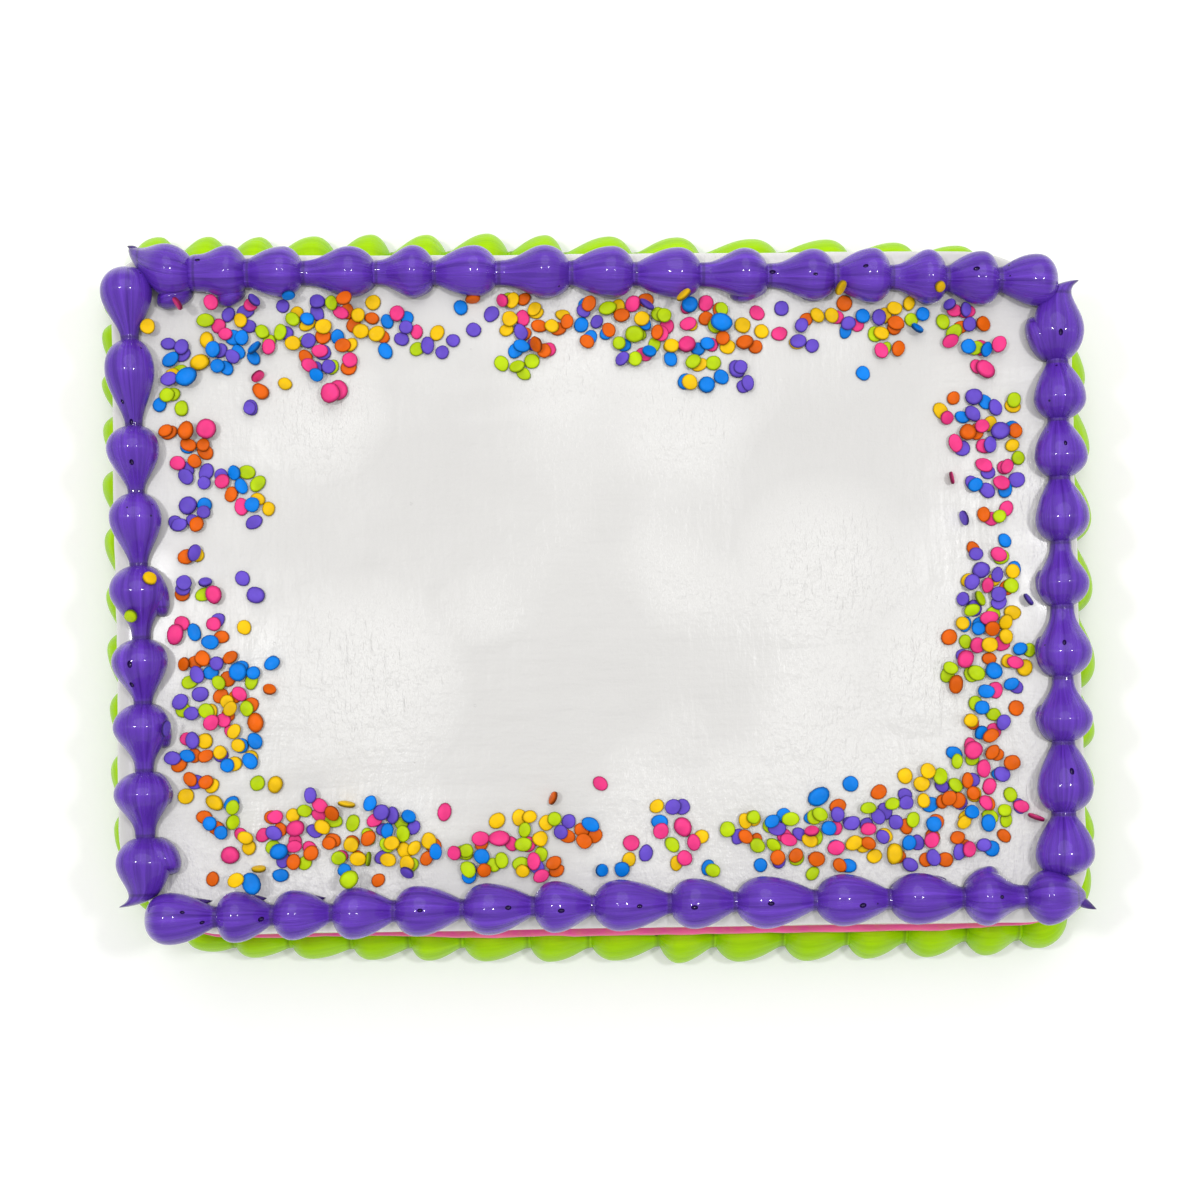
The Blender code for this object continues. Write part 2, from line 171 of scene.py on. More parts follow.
class NodeTools:
    """Adds nodes to one node tree."""

    def __init__(self, tree: bpy.types.NodeTree) -> None:
        """Keep the tree."""
        self.tree = tree

    def node(self, kind: str, links: dict[str | int, object], **settings: object) -> bpy.types.Node:
        """Add a node and set or link its inputs.

        Args:
            kind: Blender's name of the node type.
            links: Value or output socket by input name or index.
            settings: Properties of the node.

        Returns:
            The node.
        """
        node = self.tree.nodes.new(kind)
        for key, value in settings.items():
            setattr(node, key, value)
        for key, value in links.items():
            if isinstance(value, bpy.types.NodeSocket):
                self.tree.links.new(value, node.inputs[key])
            else:
                node.inputs[key].default_value = value
        return node

    def math(self, operation: str, first: object, second: object) -> bpy.types.NodeSocket:
        """Add a Math node and return its value."""
        return self.node("ShaderNodeMath", {0: first, 1: second}, operation=operation).outputs[0]

    def grain(self, vector: bpy.types.NodeSocket, scale: float, detail: float,
              roughness: float = 0.5) -> bpy.types.NodeSocket:
        """Add a noise texture and return its value."""
        return self.node("ShaderNodeTexNoise", {"Vector": vector, "Scale": scale, "Detail": detail,
                                                "Roughness": roughness}).outputs["Fac"]

    def spread(self, socket: bpy.types.NodeSocket, low: float, high: float,
               source: tuple[float, float] = (0.0, 1.0)) -> bpy.types.NodeSocket:
        """Map a value from a source range to low and high."""
        links = dict(enumerate((socket, *source, low, high)))
        return self.node("ShaderNodeMapRange", links).outputs[0]


class GroupBuilder(NodeTools):
    """Builds a shader node group with named sockets."""

    def __init__(self, name: str, inputs: dict[str, float | None], outputs: tuple[str, ...]) -> None:
        """Make the group and its sockets.

        Args:
            name: Name of the group.
            inputs: Default value by input name, or None for a vector.
            outputs: Names of the outputs, each a value.
        """
        super().__init__(bpy.data.node_groups.new(name, "ShaderNodeTree"))
        for label, value in inputs.items():
            kind = "NodeSocketVector" if value is None else "NodeSocketFloat"
            socket = self.tree.interface.new_socket(label, in_out="INPUT", socket_type=kind)
            if value is not None:
                socket.default_value = value
        for label in outputs:
            self.tree.interface.new_socket(label, in_out="OUTPUT", socket_type="NodeSocketFloat")
        self.given = self.node("NodeGroupInput", {}).outputs
        self.end = self.node("NodeGroupOutput", {})

    def put_out(self, label: str, socket: bpy.types.NodeSocket) -> None:
        """Link a socket to one of the group's outputs."""
        self.tree.links.new(socket, self.end.inputs[label])


class ShaderLibrary:
    """The node groups that more than one material uses, each built once."""

    def __init__(self) -> None:
        """Build the groups."""
        self.streaks = self.build_streaks()
        self.pores = self.build_pores()

    @staticmethod
    def build_streaks() -> bpy.types.NodeTree:
        """Build fine streaks that run along piped icing.

        Returns:
            A group with the outputs Streak, for colour, and Ridge, for height.
        """
        build = GroupBuilder("piping_streaks", {"Flow": None, "Around": 6.0, "Along": 0.8},
                             ("Streak", "Ridge"))
        parts = build.node("ShaderNodeSeparateXYZ", {0: build.given["Flow"]})
        scaled = [build.math("MULTIPLY", part, build.given[scale])
                  for part, scale in zip(parts.outputs, ("Around", "Around", "Along"))]
        vector = build.node("ShaderNodeCombineXYZ", dict(enumerate(scaled))).outputs[0]
        coarse = build.grain(vector, 1.0, 5.0, 0.62)
        fine = build.grain(vector, 4.0, 3.0, 0.6)
        build.put_out("Streak", build.spread(coarse, 0.0, 1.0, (0.34, 0.68)))
        build.put_out("Ridge", build.math("ADD", coarse, fine))
        return build.tree

    @staticmethod
    def build_pores() -> bpy.types.NodeTree:
        """Build small scattered bubble pores.

        Returns:
            A group with the output Pore, 1 in a pore and 0 between them.
        """
        build = GroupBuilder("bubble_pores", {"Place": None, "Scale": 150.0, "Size": 0.1,
                                              "Share": 0.1}, ("Pore",))
        cells = build.node("ShaderNodeTexVoronoi", {"Vector": build.given["Place"],
                                                    "Scale": build.given["Scale"]})
        inner = build.math("LESS_THAN", cells.outputs["Distance"], build.given["Size"])
        grey = build.node("ShaderNodeSeparateColor", {0: cells.outputs["Color"]})
        chosen = build.math("LESS_THAN", grey.outputs[0], build.given["Share"])
        build.put_out("Pore", build.math("MULTIPLY", inner, chosen))
        return build.tree


class Palette(NodeTools):
    """Adds nodes to one material that is being made."""

    def __init__(self, name: str) -> None:
        """Make the material with its Principled shader."""
        self.material = bpy.data.materials.new(name)
        self.material.use_nodes = True
        super().__init__(self.material.node_tree)
        self.shader = self.tree.nodes["Principled BSDF"]

    def group(self, group: bpy.types.NodeTree, links: dict[str, object]) -> bpy.types.Node:
        """Place a shared group."""
        return self.node("ShaderNodeGroup", links, node_tree=group)

    def place(self) -> bpy.types.NodeSocket:
        """Return the place on the piece in metres."""
        return self.node("ShaderNodeTexCoord", {}).outputs["Object"]

    def set(self, **values: object) -> None:
        """Set plain values on the shader, with _ for a space in the socket's name."""
        for key, value in values.items():
            self.shader.inputs[key.replace("_", " ")].default_value = value

    def link(self, socket: bpy.types.NodeSocket, target: str) -> None:
        """Link a socket to one of the shader's inputs."""
        self.tree.links.new(socket, self.shader.inputs[target])

    def mix(self, factor: bpy.types.NodeSocket, first: object, second: object) -> bpy.types.NodeSocket:
        """Mix two colours.

        Args:
            factor: Share of the second colour.
            first, second: Each a colour or a socket.

        Returns:
            The mixed colour.
        """
        colours = [value if isinstance(value, bpy.types.NodeSocket) else (*value, 1.0)
                   for value in (first, second)]
        links = {"Factor": factor, 6: colours[0], 7: colours[1]}
        return self.node("ShaderNodeMix", links, data_type="RGBA").outputs[2]

    def bump(self, height: bpy.types.NodeSocket, distance: float,
             normal: bpy.types.NodeSocket | None = None) -> bpy.types.NodeSocket:
        """Add a bump of a real depth in metres.

        Args:
            height: Height from 0 to 1.
            distance: Depth that the height 1 stands for.
            normal: Normal that the bump adds to.

        Returns:
            The bumped normal.
        """
        links = {"Height": height, "Distance": distance, "Strength": 1.0}
        if normal is not None:
            links["Normal"] = normal
        return self.node("ShaderNodeBump", links).outputs[0]


# Finishes


@dataclass(frozen=True)
class PipedFinish:
    """Glossy piped icing, with streaks along the way that it was piped.

    Attributes:
        icing: The record's slot.
        colour: Main colour, linear.
        deep: Colour of the darker streaks.
        roughness: Roughness range of the glossy and the duller streaks.
        ridge: Height of the streaks.
        coat: Weight of the wet coat.
        gloss: Specular level under the coat.
        around, along: How fine the streaks are across the way of piping and along it.
        painted_shade, hole: Colour of the painted shade on low flanks, in creases and inside cut holes,
            and of the painted shade in bubble pores, over the deep one.
    """

    icing: Icing
    colour: tuple[float, float, float]
    deep: tuple[float, float, float]
    roughness: tuple[float, float]
    ridge: float
    coat: float
    gloss: float = 0.25
    around: float = 5.0
    along: float = 0.7
    painted_shade: float = 0.30
    hole: float = 0.25

    def material(self, library: ShaderLibrary) -> bpy.types.Material:
        """Build the material.

        Args:
            library: The shared node groups.

        Returns:
            The material.
        """
        make = Palette(self.icing.value + "_piped")
        flow = make.node("ShaderNodeAttribute", {}, attribute_name="flow")
        streaks = make.group(library.streaks, {"Flow": flow.outputs["Vector"],
                                               "Around": self.around, "Along": self.along})
        pores = make.group(library.pores, {"Place": make.place(), "Scale": 260.0, "Size": 0.11,
                                           "Share": 0.05})
        colour = make.mix(streaks.outputs["Streak"], self.deep, self.colour)
        # Painted shade: where the stored light is low, on low flanks, in creases and inside cut holes,
        # the colour darkens.
        shaded = make.mix(flow.outputs["Alpha"], tuple(self.painted_shade * v for v in self.deep), colour)
        # Painted shade in the small bubble pores.
        darker = make.mix(pores.outputs["Pore"], shaded, tuple(self.hole * v for v in self.deep))
        make.link(darker, "Base Color")
        make.link(make.spread(streaks.outputs["Streak"], self.roughness[1], self.roughness[0]),
                  "Roughness")
        normal = make.bump(streaks.outputs["Ridge"], self.ridge)
        hollow = make.spread(pores.outputs["Pore"], 1.0, 0.0)
        make.link(make.bump(hollow, 0.4 * MM, normal), "Normal")
        make.set(Metallic=0.0, Specular_IOR_Level=self.gloss, Coat_Weight=self.coat,
                 Coat_Roughness=0.07, Coat_IOR=1.45)
        return make.material


@dataclass(frozen=True)
class SmoothedFinish:
    """White icing smoothed with a spatula, glossy with fine strokes.

    Attributes:
        colour: Main colour, linear.
        shade: Colour in the hollows of the strokes.
        light: Lighter colour painted on the patches with marked ripples, a painted light that makes up
            for the darkening by their slopes.
        ripples_and_painted_light: Middle and radius in metres of the patches with marked ripples and
            painted light.
    """

    colour: tuple[float, float, float] = (0.675, 0.666, 0.647)
    shade: tuple[float, float, float] = (0.625, 0.615, 0.597)
    light: tuple[float, float, float] = (0.765, 0.755, 0.734)
    ripples_and_painted_light: tuple[tuple[tuple[float, float, float], float], ...] = (
        ((-0.080, -0.032, 0.062), 0.040),
        ((0.078, 0.004, 0.062), 0.036),
        ((-0.093, 0.060, 0.062), 0.026),
        ((0.112, -0.030, 0.062), 0.030),
    )

    def material(self, library: ShaderLibrary) -> bpy.types.Material:
        """Build the material.

        Args:
            library: The shared node groups.

        Returns:
            The material.
        """
        make = Palette(Icing.WHITE.value + "_smoothed")
        here = make.place()
        strokes = self.stretched(make, here, (24.0, 150.0, 60.0), 12.0)
        across = self.stretched(make, here, (190.0, 40.0, 60.0), -8.0)
        ripples = self.stretched(make, here, (380.0, 120.0, 60.0), 10.0)
        ripple = make.grain(here, 90.0, 6.0, 0.6)
        cloud = make.grain(here, 14.0, 4.0)
        grain = make.grain(here, 620.0, 3.0, 0.6)
        ripples_and_painted_light = make.spread(make.grain(here, 11.0, 2.0), 0.04, 0.7, (0.48, 0.64))
        for middle, radius in self.ripples_and_painted_light:
            away = make.node("ShaderNodeVectorMath", {0: here, 1: middle}, operation="DISTANCE")
            near = make.spread(away.outputs["Value"], 1.0, 0.0, (0.3 * radius, radius))
            ripples_and_painted_light = make.math("MAXIMUM", ripples_and_painted_light, near)
        pores = make.group(library.pores, {"Place": here, "Scale": 190.0, "Size": 0.08, "Share": 0.06})
        face = make.mix(make.spread(cloud, 0.0, 1.0, (0.35, 0.65)), self.shade, self.colour)
        # Painted light: the rippled patches get a lighter colour that makes up for the darkening by their
        # bumps.
        make.link(make.mix(ripples_and_painted_light, face, self.light), "Base Color")
        make.link(make.spread(cloud, 0.42, 0.24, (0.35, 0.7)), "Roughness")
        normal = None
        for height, depth in ((strokes, 0.30), (across, 0.22), (ripple, 0.25),
                              (make.math("MULTIPLY", ripples, ripples_and_painted_light), 1.6),
                              (make.math("MULTIPLY", grain, ripples_and_painted_light), 0.35), (grain, 0.05)):
            normal = make.bump(height, depth * MM, normal)
        hollow = make.spread(pores.outputs["Pore"], 1.0, 0.0)
        make.link(make.bump(hollow, 0.25 * MM, normal), "Normal")
        make.set(Metallic=0.0, Coat_Weight=0.5, Coat_Roughness=0.10)
        return make.material

    @staticmethod
    def stretched(make: Palette, place: bpy.types.NodeSocket, stretch: tuple[float, float, float],
                  turn: float) -> bpy.types.NodeSocket:
        """Add noise that is stretched along one way.

        Args:
            make: The material that is being made.
            place: The place on the piece.
            stretch: Noise scale along each axis, per metre.
            turn: Turn of the strokes in degrees.

        Returns:
            The noise value.
        """
        turned = make.node("ShaderNodeMapping", {0: place, "Scale": stretch,
                                                 "Rotation": (0, 0, math.radians(turn))})
        return make.grain(turned.outputs[0], 1.0, 4.0, 0.55)


@dataclass(frozen=True)
class SugarFinish:
    """Pressed sugar with a faintly mottled, half matt face.

    Attributes:
        name: Name of the colour.
        colour: The colour, linear.
        mottle, edge: Brightness of the mottles, and of the painted shade on the sides and under side,
            over the colour's.
    """

    name: str
    colour: tuple[float, float, float]
    mottle: float = 0.72
    edge: float = 0.20

    def material(self) -> bpy.types.Material:
        """Build the material."""
        make = Palette("sugar_" + self.name)
        place = make.place()
        grain = make.grain(place, 900.0, 3.0)
        patch = make.grain(place, 160.0, 2.0)
        rim = make.node("ShaderNodeAttribute", {}, attribute_name="rim")
        deep = tuple(self.mottle * value for value in self.colour)
        # Painted shade for the disc's sides and under side, mixed in by the rim mask.
        edge = tuple(self.edge * value for value in self.colour)
        tone = make.spread(patch, 0.0, 1.0, (0.3, 0.7))
        face = make.mix(tone, deep, self.colour)
        make.link(make.mix(rim.outputs["Fac"], face, edge), "Base Color")
        make.link(make.spread(grain, 0.36, 0.55, (0.3, 0.7)), "Roughness")
        make.link(make.bump(grain, 0.08 * MM), "Normal")
        make.set(Metallic=0.0, Specular_IOR_Level=0.12)
        return make.material


PURPLE_FINISH = PipedFinish(Icing.PURPLE, (0.152, 0.047, 0.570), (0.070, 0.016, 0.300),
                            (0.22, 0.34), 0.18 * MM, 0.6, gloss=0.2)
GREEN_FINISH = PipedFinish(Icing.GREEN, (0.43, 0.78, 0.003), (0.34, 0.65, 0.002),
                           (0.24, 0.36), 0.14 * MM, 0.14, gloss=0.06)
PINK_FINISH = PipedFinish(Icing.PINK, (1.0, 0.09, 0.40), (0.95, 0.18, 0.28),
                          (0.28, 0.4), 0.12 * MM, 0.15, around=2.0, along=40.0)
SUGARS = (
    SugarFinish("purple", (0.160, 0.088, 0.650)),
    SugarFinish("blue", (0.001, 0.240, 0.880)),
    SugarFinish("pink", (1.000, 0.052, 0.275)),
    SugarFinish("orange", (0.870, 0.140, 0.001)),
    SugarFinish("lime", (0.540, 0.750, 0.002)),
    SugarFinish("yellow", (1.000, 0.610, 0.001)),
)


# Plan of the cake


@dataclass(frozen=True)
class Plan:
    """The iced block's plan, in millimetres from where the cake was drawn.

    Attributes:
        back_left, back_right, front_right, front_left: Corners of the top.
        height: Height of the icing's top.
        flare: How far the walls lean out to the foot.
        corner_rounds: Radius of each upright corner, in the same order.
        rim_round: Radius of the top edge.
    """

    back_left: tuple[float, float] = (-167, 117)
    back_right: tuple[float, float] = (164.5, 114)
    front_right: tuple[float, float] = (164.5, -116)
    front_left: tuple[float, float] = (-164, -116)
    height: float = 60.0
    flare: float = 5.0
    corner_rounds: tuple[float, float, float, float] = (14.0, 36.0, 20.0, 36.0)
    rim_round: float = 5.0

    def corners(self) -> tuple[tuple[float, float], ...]:
        """Return the top's corners, clockwise from the back left."""
        return (self.back_left, self.back_right, self.front_right, self.front_left)

    def foot(self, corner: tuple[float, float]) -> tuple[float, float]:
        """Return the place at the foot of the wall below a corner of the top."""
        return spread_corner(corner, self.flare)

    def shift(self) -> Vector:
        """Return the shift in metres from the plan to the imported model's frame."""
        low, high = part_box("cake")
        foot_left = min(self.foot(c)[0] for c in (self.back_left, self.front_left)) * MM
        foot_back = max(self.foot(c)[1] for c in (self.back_left, self.back_right)) * MM
        return Vector((low[0] - foot_left, high[1] - foot_back, 0.0))

    def side(self, side: Side) -> tuple[tuple[float, float], tuple[float, float]]:
        """Return the corners from which and to which a side is piped, anticlockwise."""
        return {
            Side.BACK: (self.back_right, self.back_left),
            Side.LEFT: (self.back_left, self.front_left),
            Side.FRONT: (self.front_left, self.front_right),
            Side.RIGHT: (self.front_right, self.back_right),
        }[side]


def spread_corner(corner: tuple[float, float], distance: float) -> tuple[float, float]:
    """Move a corner of the plan away from the centre by a distance on both axes."""
    return tuple(value + math.copysign(distance, value) for value in corner)


PLAN = Plan()


# Piped borders


@dataclass(frozen=True)
class ShellForm:
    """What the shells of one border have in common, in millimetres.

    Attributes:
        half_height: Half the height of a full-grown shell.
        lift: Height of the shell's axis above its base, as a share of half_height.
        base: Height of what the border lies on.
        sides, rings: Faces round and along a shell.
        wander: How far the surface waves in and out.
        widest, taper: Where a shell is widest, and how long it takes to thin to its
            neck, from its head 0 to the next joint 1.
        reach: A shell's whole length over the length that stays visible.
        closing: Power that rounds off the end of the tail.
        last_neck: Girth of a run's last tail over its head's.
        shaded: Height above the base, in half heights, below which painted shade darkens a shell towards
            its base.
        creases: Length of the painted shade in the crease at a shell's head and at its joint, as a share.
        crease_light: What is left of the light at the middle of a crease, under its painted shade.
    """

    half_height: float
    lift: float
    base: float
    sides: int
    rings: int
    wander: float
    widest: float = 0.37
    taper: float = 0.60
    reach: float = 1.22
    closing: float = 18.0
    last_neck: float = 0.55
    shaded: float = 0.65
    creases: tuple[float, float] = (0.03, 0.05)
    crease_light: float = 0.25

    def profile(self, place: float, neck: float, fall: float) -> float:
        """Return a shell's relative girth at a place from its head 0 to the next joint 1."""
        if place < self.widest:
            return math.sqrt(max(0.0, 1 - (1 - place / self.widest) ** 2))
        thinning = min(1.0, (place - self.widest) / self.taper)
        return neck + (1 - neck) * max(0.0, math.cos(math.pi / 2 * thinning)) ** fall


@dataclass(frozen=True)
class Lobe:
    """A fold of icing that hangs from a shell's head on its inner side.

    Attributes:
        index: Which shell of the run.
        scale: Its relative size.
        end: Where it ends between the shell's head 0 and the next joint 1.
        point: 0 for a round end, 1 for a pointed one.
        begin: Where it starts.
        offsets: How far in it lies at both ends, in half widths of the shell.
        girth: Its girth over the shell's.
        tall: Its height over its girth.
    """

    index: int
    scale: float = 1.0
    end: float = 0.64
    point: float = 0.0
    begin: float = 0.02
    offsets: tuple[float, float] = (0.35, 0.72)
    girth: float = 0.46
    tall: float = 1.35

    def profile(self, share: float) -> float:
        """Return the relative girth at a share of the fold's length."""
        rounded = 2 * math.sqrt(share * (1 - share))
        pointed = math.sqrt(share) * (1 - share) * 2.6
        return (rounded + (pointed - rounded) * self.point) * self.girth * self.scale


@dataclass(frozen=True)
class BorderRun:
    """One run of shells along a side, with its shape in millimetres.

    Attributes:
        side: The side of the cake.
        joints: Where each shell's head meets the tail before it, and the last tip.
        drift: How far the run lies outside the line at its start, middle and end.
        half_width: How far the heads reach to each side, there.
        neck: A tail's girth over its head's.
        fall: Power of the thinning to it, larger for a more hollow curve.
        tip: How far the last tail is pulled outwards, the power that keeps this to its
            end, and the two powers with which it closes.
        necks: Shell and neck where one differs from the others.
        lobes: The folds on the inner side.
        pits: Shell, place along it and angle in degrees of each bubble hole.
        bends: Radii with which the run goes round the corners, or 0 for straight on.
    """

    side: Side
    joints: tuple[int, ...]
    drift: tuple[float, float, float]
    half_width: tuple[float, float, float]
    neck: float = 0.57
    fall: float = 1.1
    tip: tuple[float, float, float, float] = (0.0, 12.0, 8.0, 0.5)
    lobes: tuple[Lobe, ...] = ()
    pits: tuple[tuple[int, float, float], ...] = ()
    bends: tuple[float, float] = (0.0, 0.0)
    necks: tuple[tuple[int, float], ...] = ()


TOP_FORM = ShellForm(8.2, 0.66, 60.0, 44, 56, 0.4)
BASE_FORM = ShellForm(13.0, 0.62, 0.0, 40, 44, 0.4)
LOBED_FALL = 2.2

TOP_RUNS = (
    BorderRun(Side.BACK,
              (-161, -141, -123, -104, -85, -62, -39, -16, 6, 31, 53, 73, 98, 117, 135, 159),
              (-12, -8, -7.4), (9.2, 8.9, 8.9), 0.50, 1.0, (9, 3, 6, 0.7),
              (Lobe(2, 0.95, 0.55), Lobe(4, 0.95, 0.55), Lobe(5, 1.05, 0.6), Lobe(8, 0.95, 0.55),
               Lobe(10, 0.95, 0.5), Lobe(11, 0.95, 0.55), Lobe(13, 1.0, 0.62, 0, 0.08, (0.7, 0.95)),
               Lobe(14, 1.0, 0.58, 0, 0.06, (0.7, 1.0)),
               Lobe(14, 1.0, 1.02, 1, 0.78, (-0.72, -1.15), 0.2, 1.0)),
              ((3, 0.45, 80), (4, 0.3, 100), (4, 0.8, 85), (1, 0.45, 80), (13, 0.75, 60)),
              necks=((13, 0.74), (12, 0.6))),
    BorderRun(Side.LEFT,
              (-112, -87, -57, -34, -9, 16, 38, 61, 83, 107),
              (-6.4, -9.3, -10), (8.7, 9.2, 9.2), 0.35, 1.5, (9, 12, 8, 0.5),
              (Lobe(4, 1.05, 0.72), Lobe(6, 1.0, 0.68), Lobe(7, 1.0, 0.54),
               Lobe(8, 1.1, 0.56, offsets=(0.45, 0.80), girth=0.56)),
              ((1, 0.62, 60), (2, 0.5, 95), (5, 0.35, 80), (5, 0.6, 70), (1, 0.8, 85))),
    BorderRun(Side.FRONT,
              (-155, -131, -112, -92, -71, -48, -24, -4, 22, 44, 71, 96, 121, 142, 163),
              (-5.5, -8, -8.5), (8.4, 8.6, 9.2), 0.42, 1.05, (0.0, 6, 3.5, 0.5),
              (Lobe(0, 0.85, 0.95, 1.0), Lobe(1, 0.9, 0.9, 1.0), Lobe(2, 0.85, 0.9, 1.0),
               Lobe(6, 0.85, 0.85, 1.0), Lobe(8, 0.85, 0.8, 1.0), Lobe(11, 0.95, 0.8, 0.6),
               Lobe(12, 1.05, 0.6, girth=0.5),
               Lobe(13, 1.0, 1.17, 1, 0.66, (0.15, -0.5), 0.26, 1.0)),
              ((0, 0.5, 110), (0, 0.7, 75), (1, 0.7, 80), (4, 0.35, 95), (5, 0.55, 95),
               (6, 0.4, 85), (7, 0.5, 90), (8, 0.3, 85), (9, 0.35, 90), (10, 0.5, 80),
               (12, 0.45, 95))),
    BorderRun(Side.RIGHT,
              (-100, -79, -55, -33, -9, 13, 35, 55, 75, 104),
              (-9, -6.8, -6), (9.6, 9.0, 9.2), 0.43, 1.0, (8, 12, 8, 0.5),
              (Lobe(2, 1.0, 0.6), Lobe(3, 1.0, 0.6), Lobe(4, 1.0, 0.6),
               Lobe(8, 1.1, 0.56, offsets=(0.38, 0.78), girth=0.53)),
              ((8, 0.3, 95), (6, 0.45, 90), (3, 0.4, 100), (1, 0.5, 85))),
)

BASE_RUNS = (
    BorderRun(Side.BACK,
              (-166, -143, -121, -97, -71, -42, -17, 9, 29, 52, 73, 93, 115, 133, 152, 168),
              (1, 1, 1), (4.5, 11.8, 11.3), bends=(36, 14)),
    BorderRun(Side.LEFT,
              (-118, -104, -86, -70, -50, -30, -9, 10, 31, 53, 75, 96, 118),
              (1, 1, 1), (8.6, 7.4, 4.5), bends=(14, 36)),
    BorderRun(Side.FRONT,
              (-166, -151, -134, -114, -92, -71, -52, -28, -6, 19, 39, 64, 87, 108, 130, 149, 168),
              (1, 1, 1), (4.5, 10.4, 9.0), bends=(36, 20)),
    BorderRun(Side.RIGHT,
              (-117, -95, -76, -59, -37, -9, 17, 43, 69, 94, 118),
              (1, 1, 1), (6, 9.8, 8), bends=(20, 36)),
)


def curve_through(values: tuple[float, float, float], share: float) -> float:
    """Read a smooth curve through start, middle and end values at a share."""
    start, middle, end = values
    return (start * (1 - share) * (1 - 2 * share) + middle * 4 * share * (1 - share)
            + end * share * (2 * share - 1))


def directions(start: Vector, end: Vector) -> tuple[Vector, Vector]:
    """Return the directions along a side and out of the cake, piped anticlockwise."""
    along = (end - start).normalized()
    return along, Vector((along.y, -along.x))


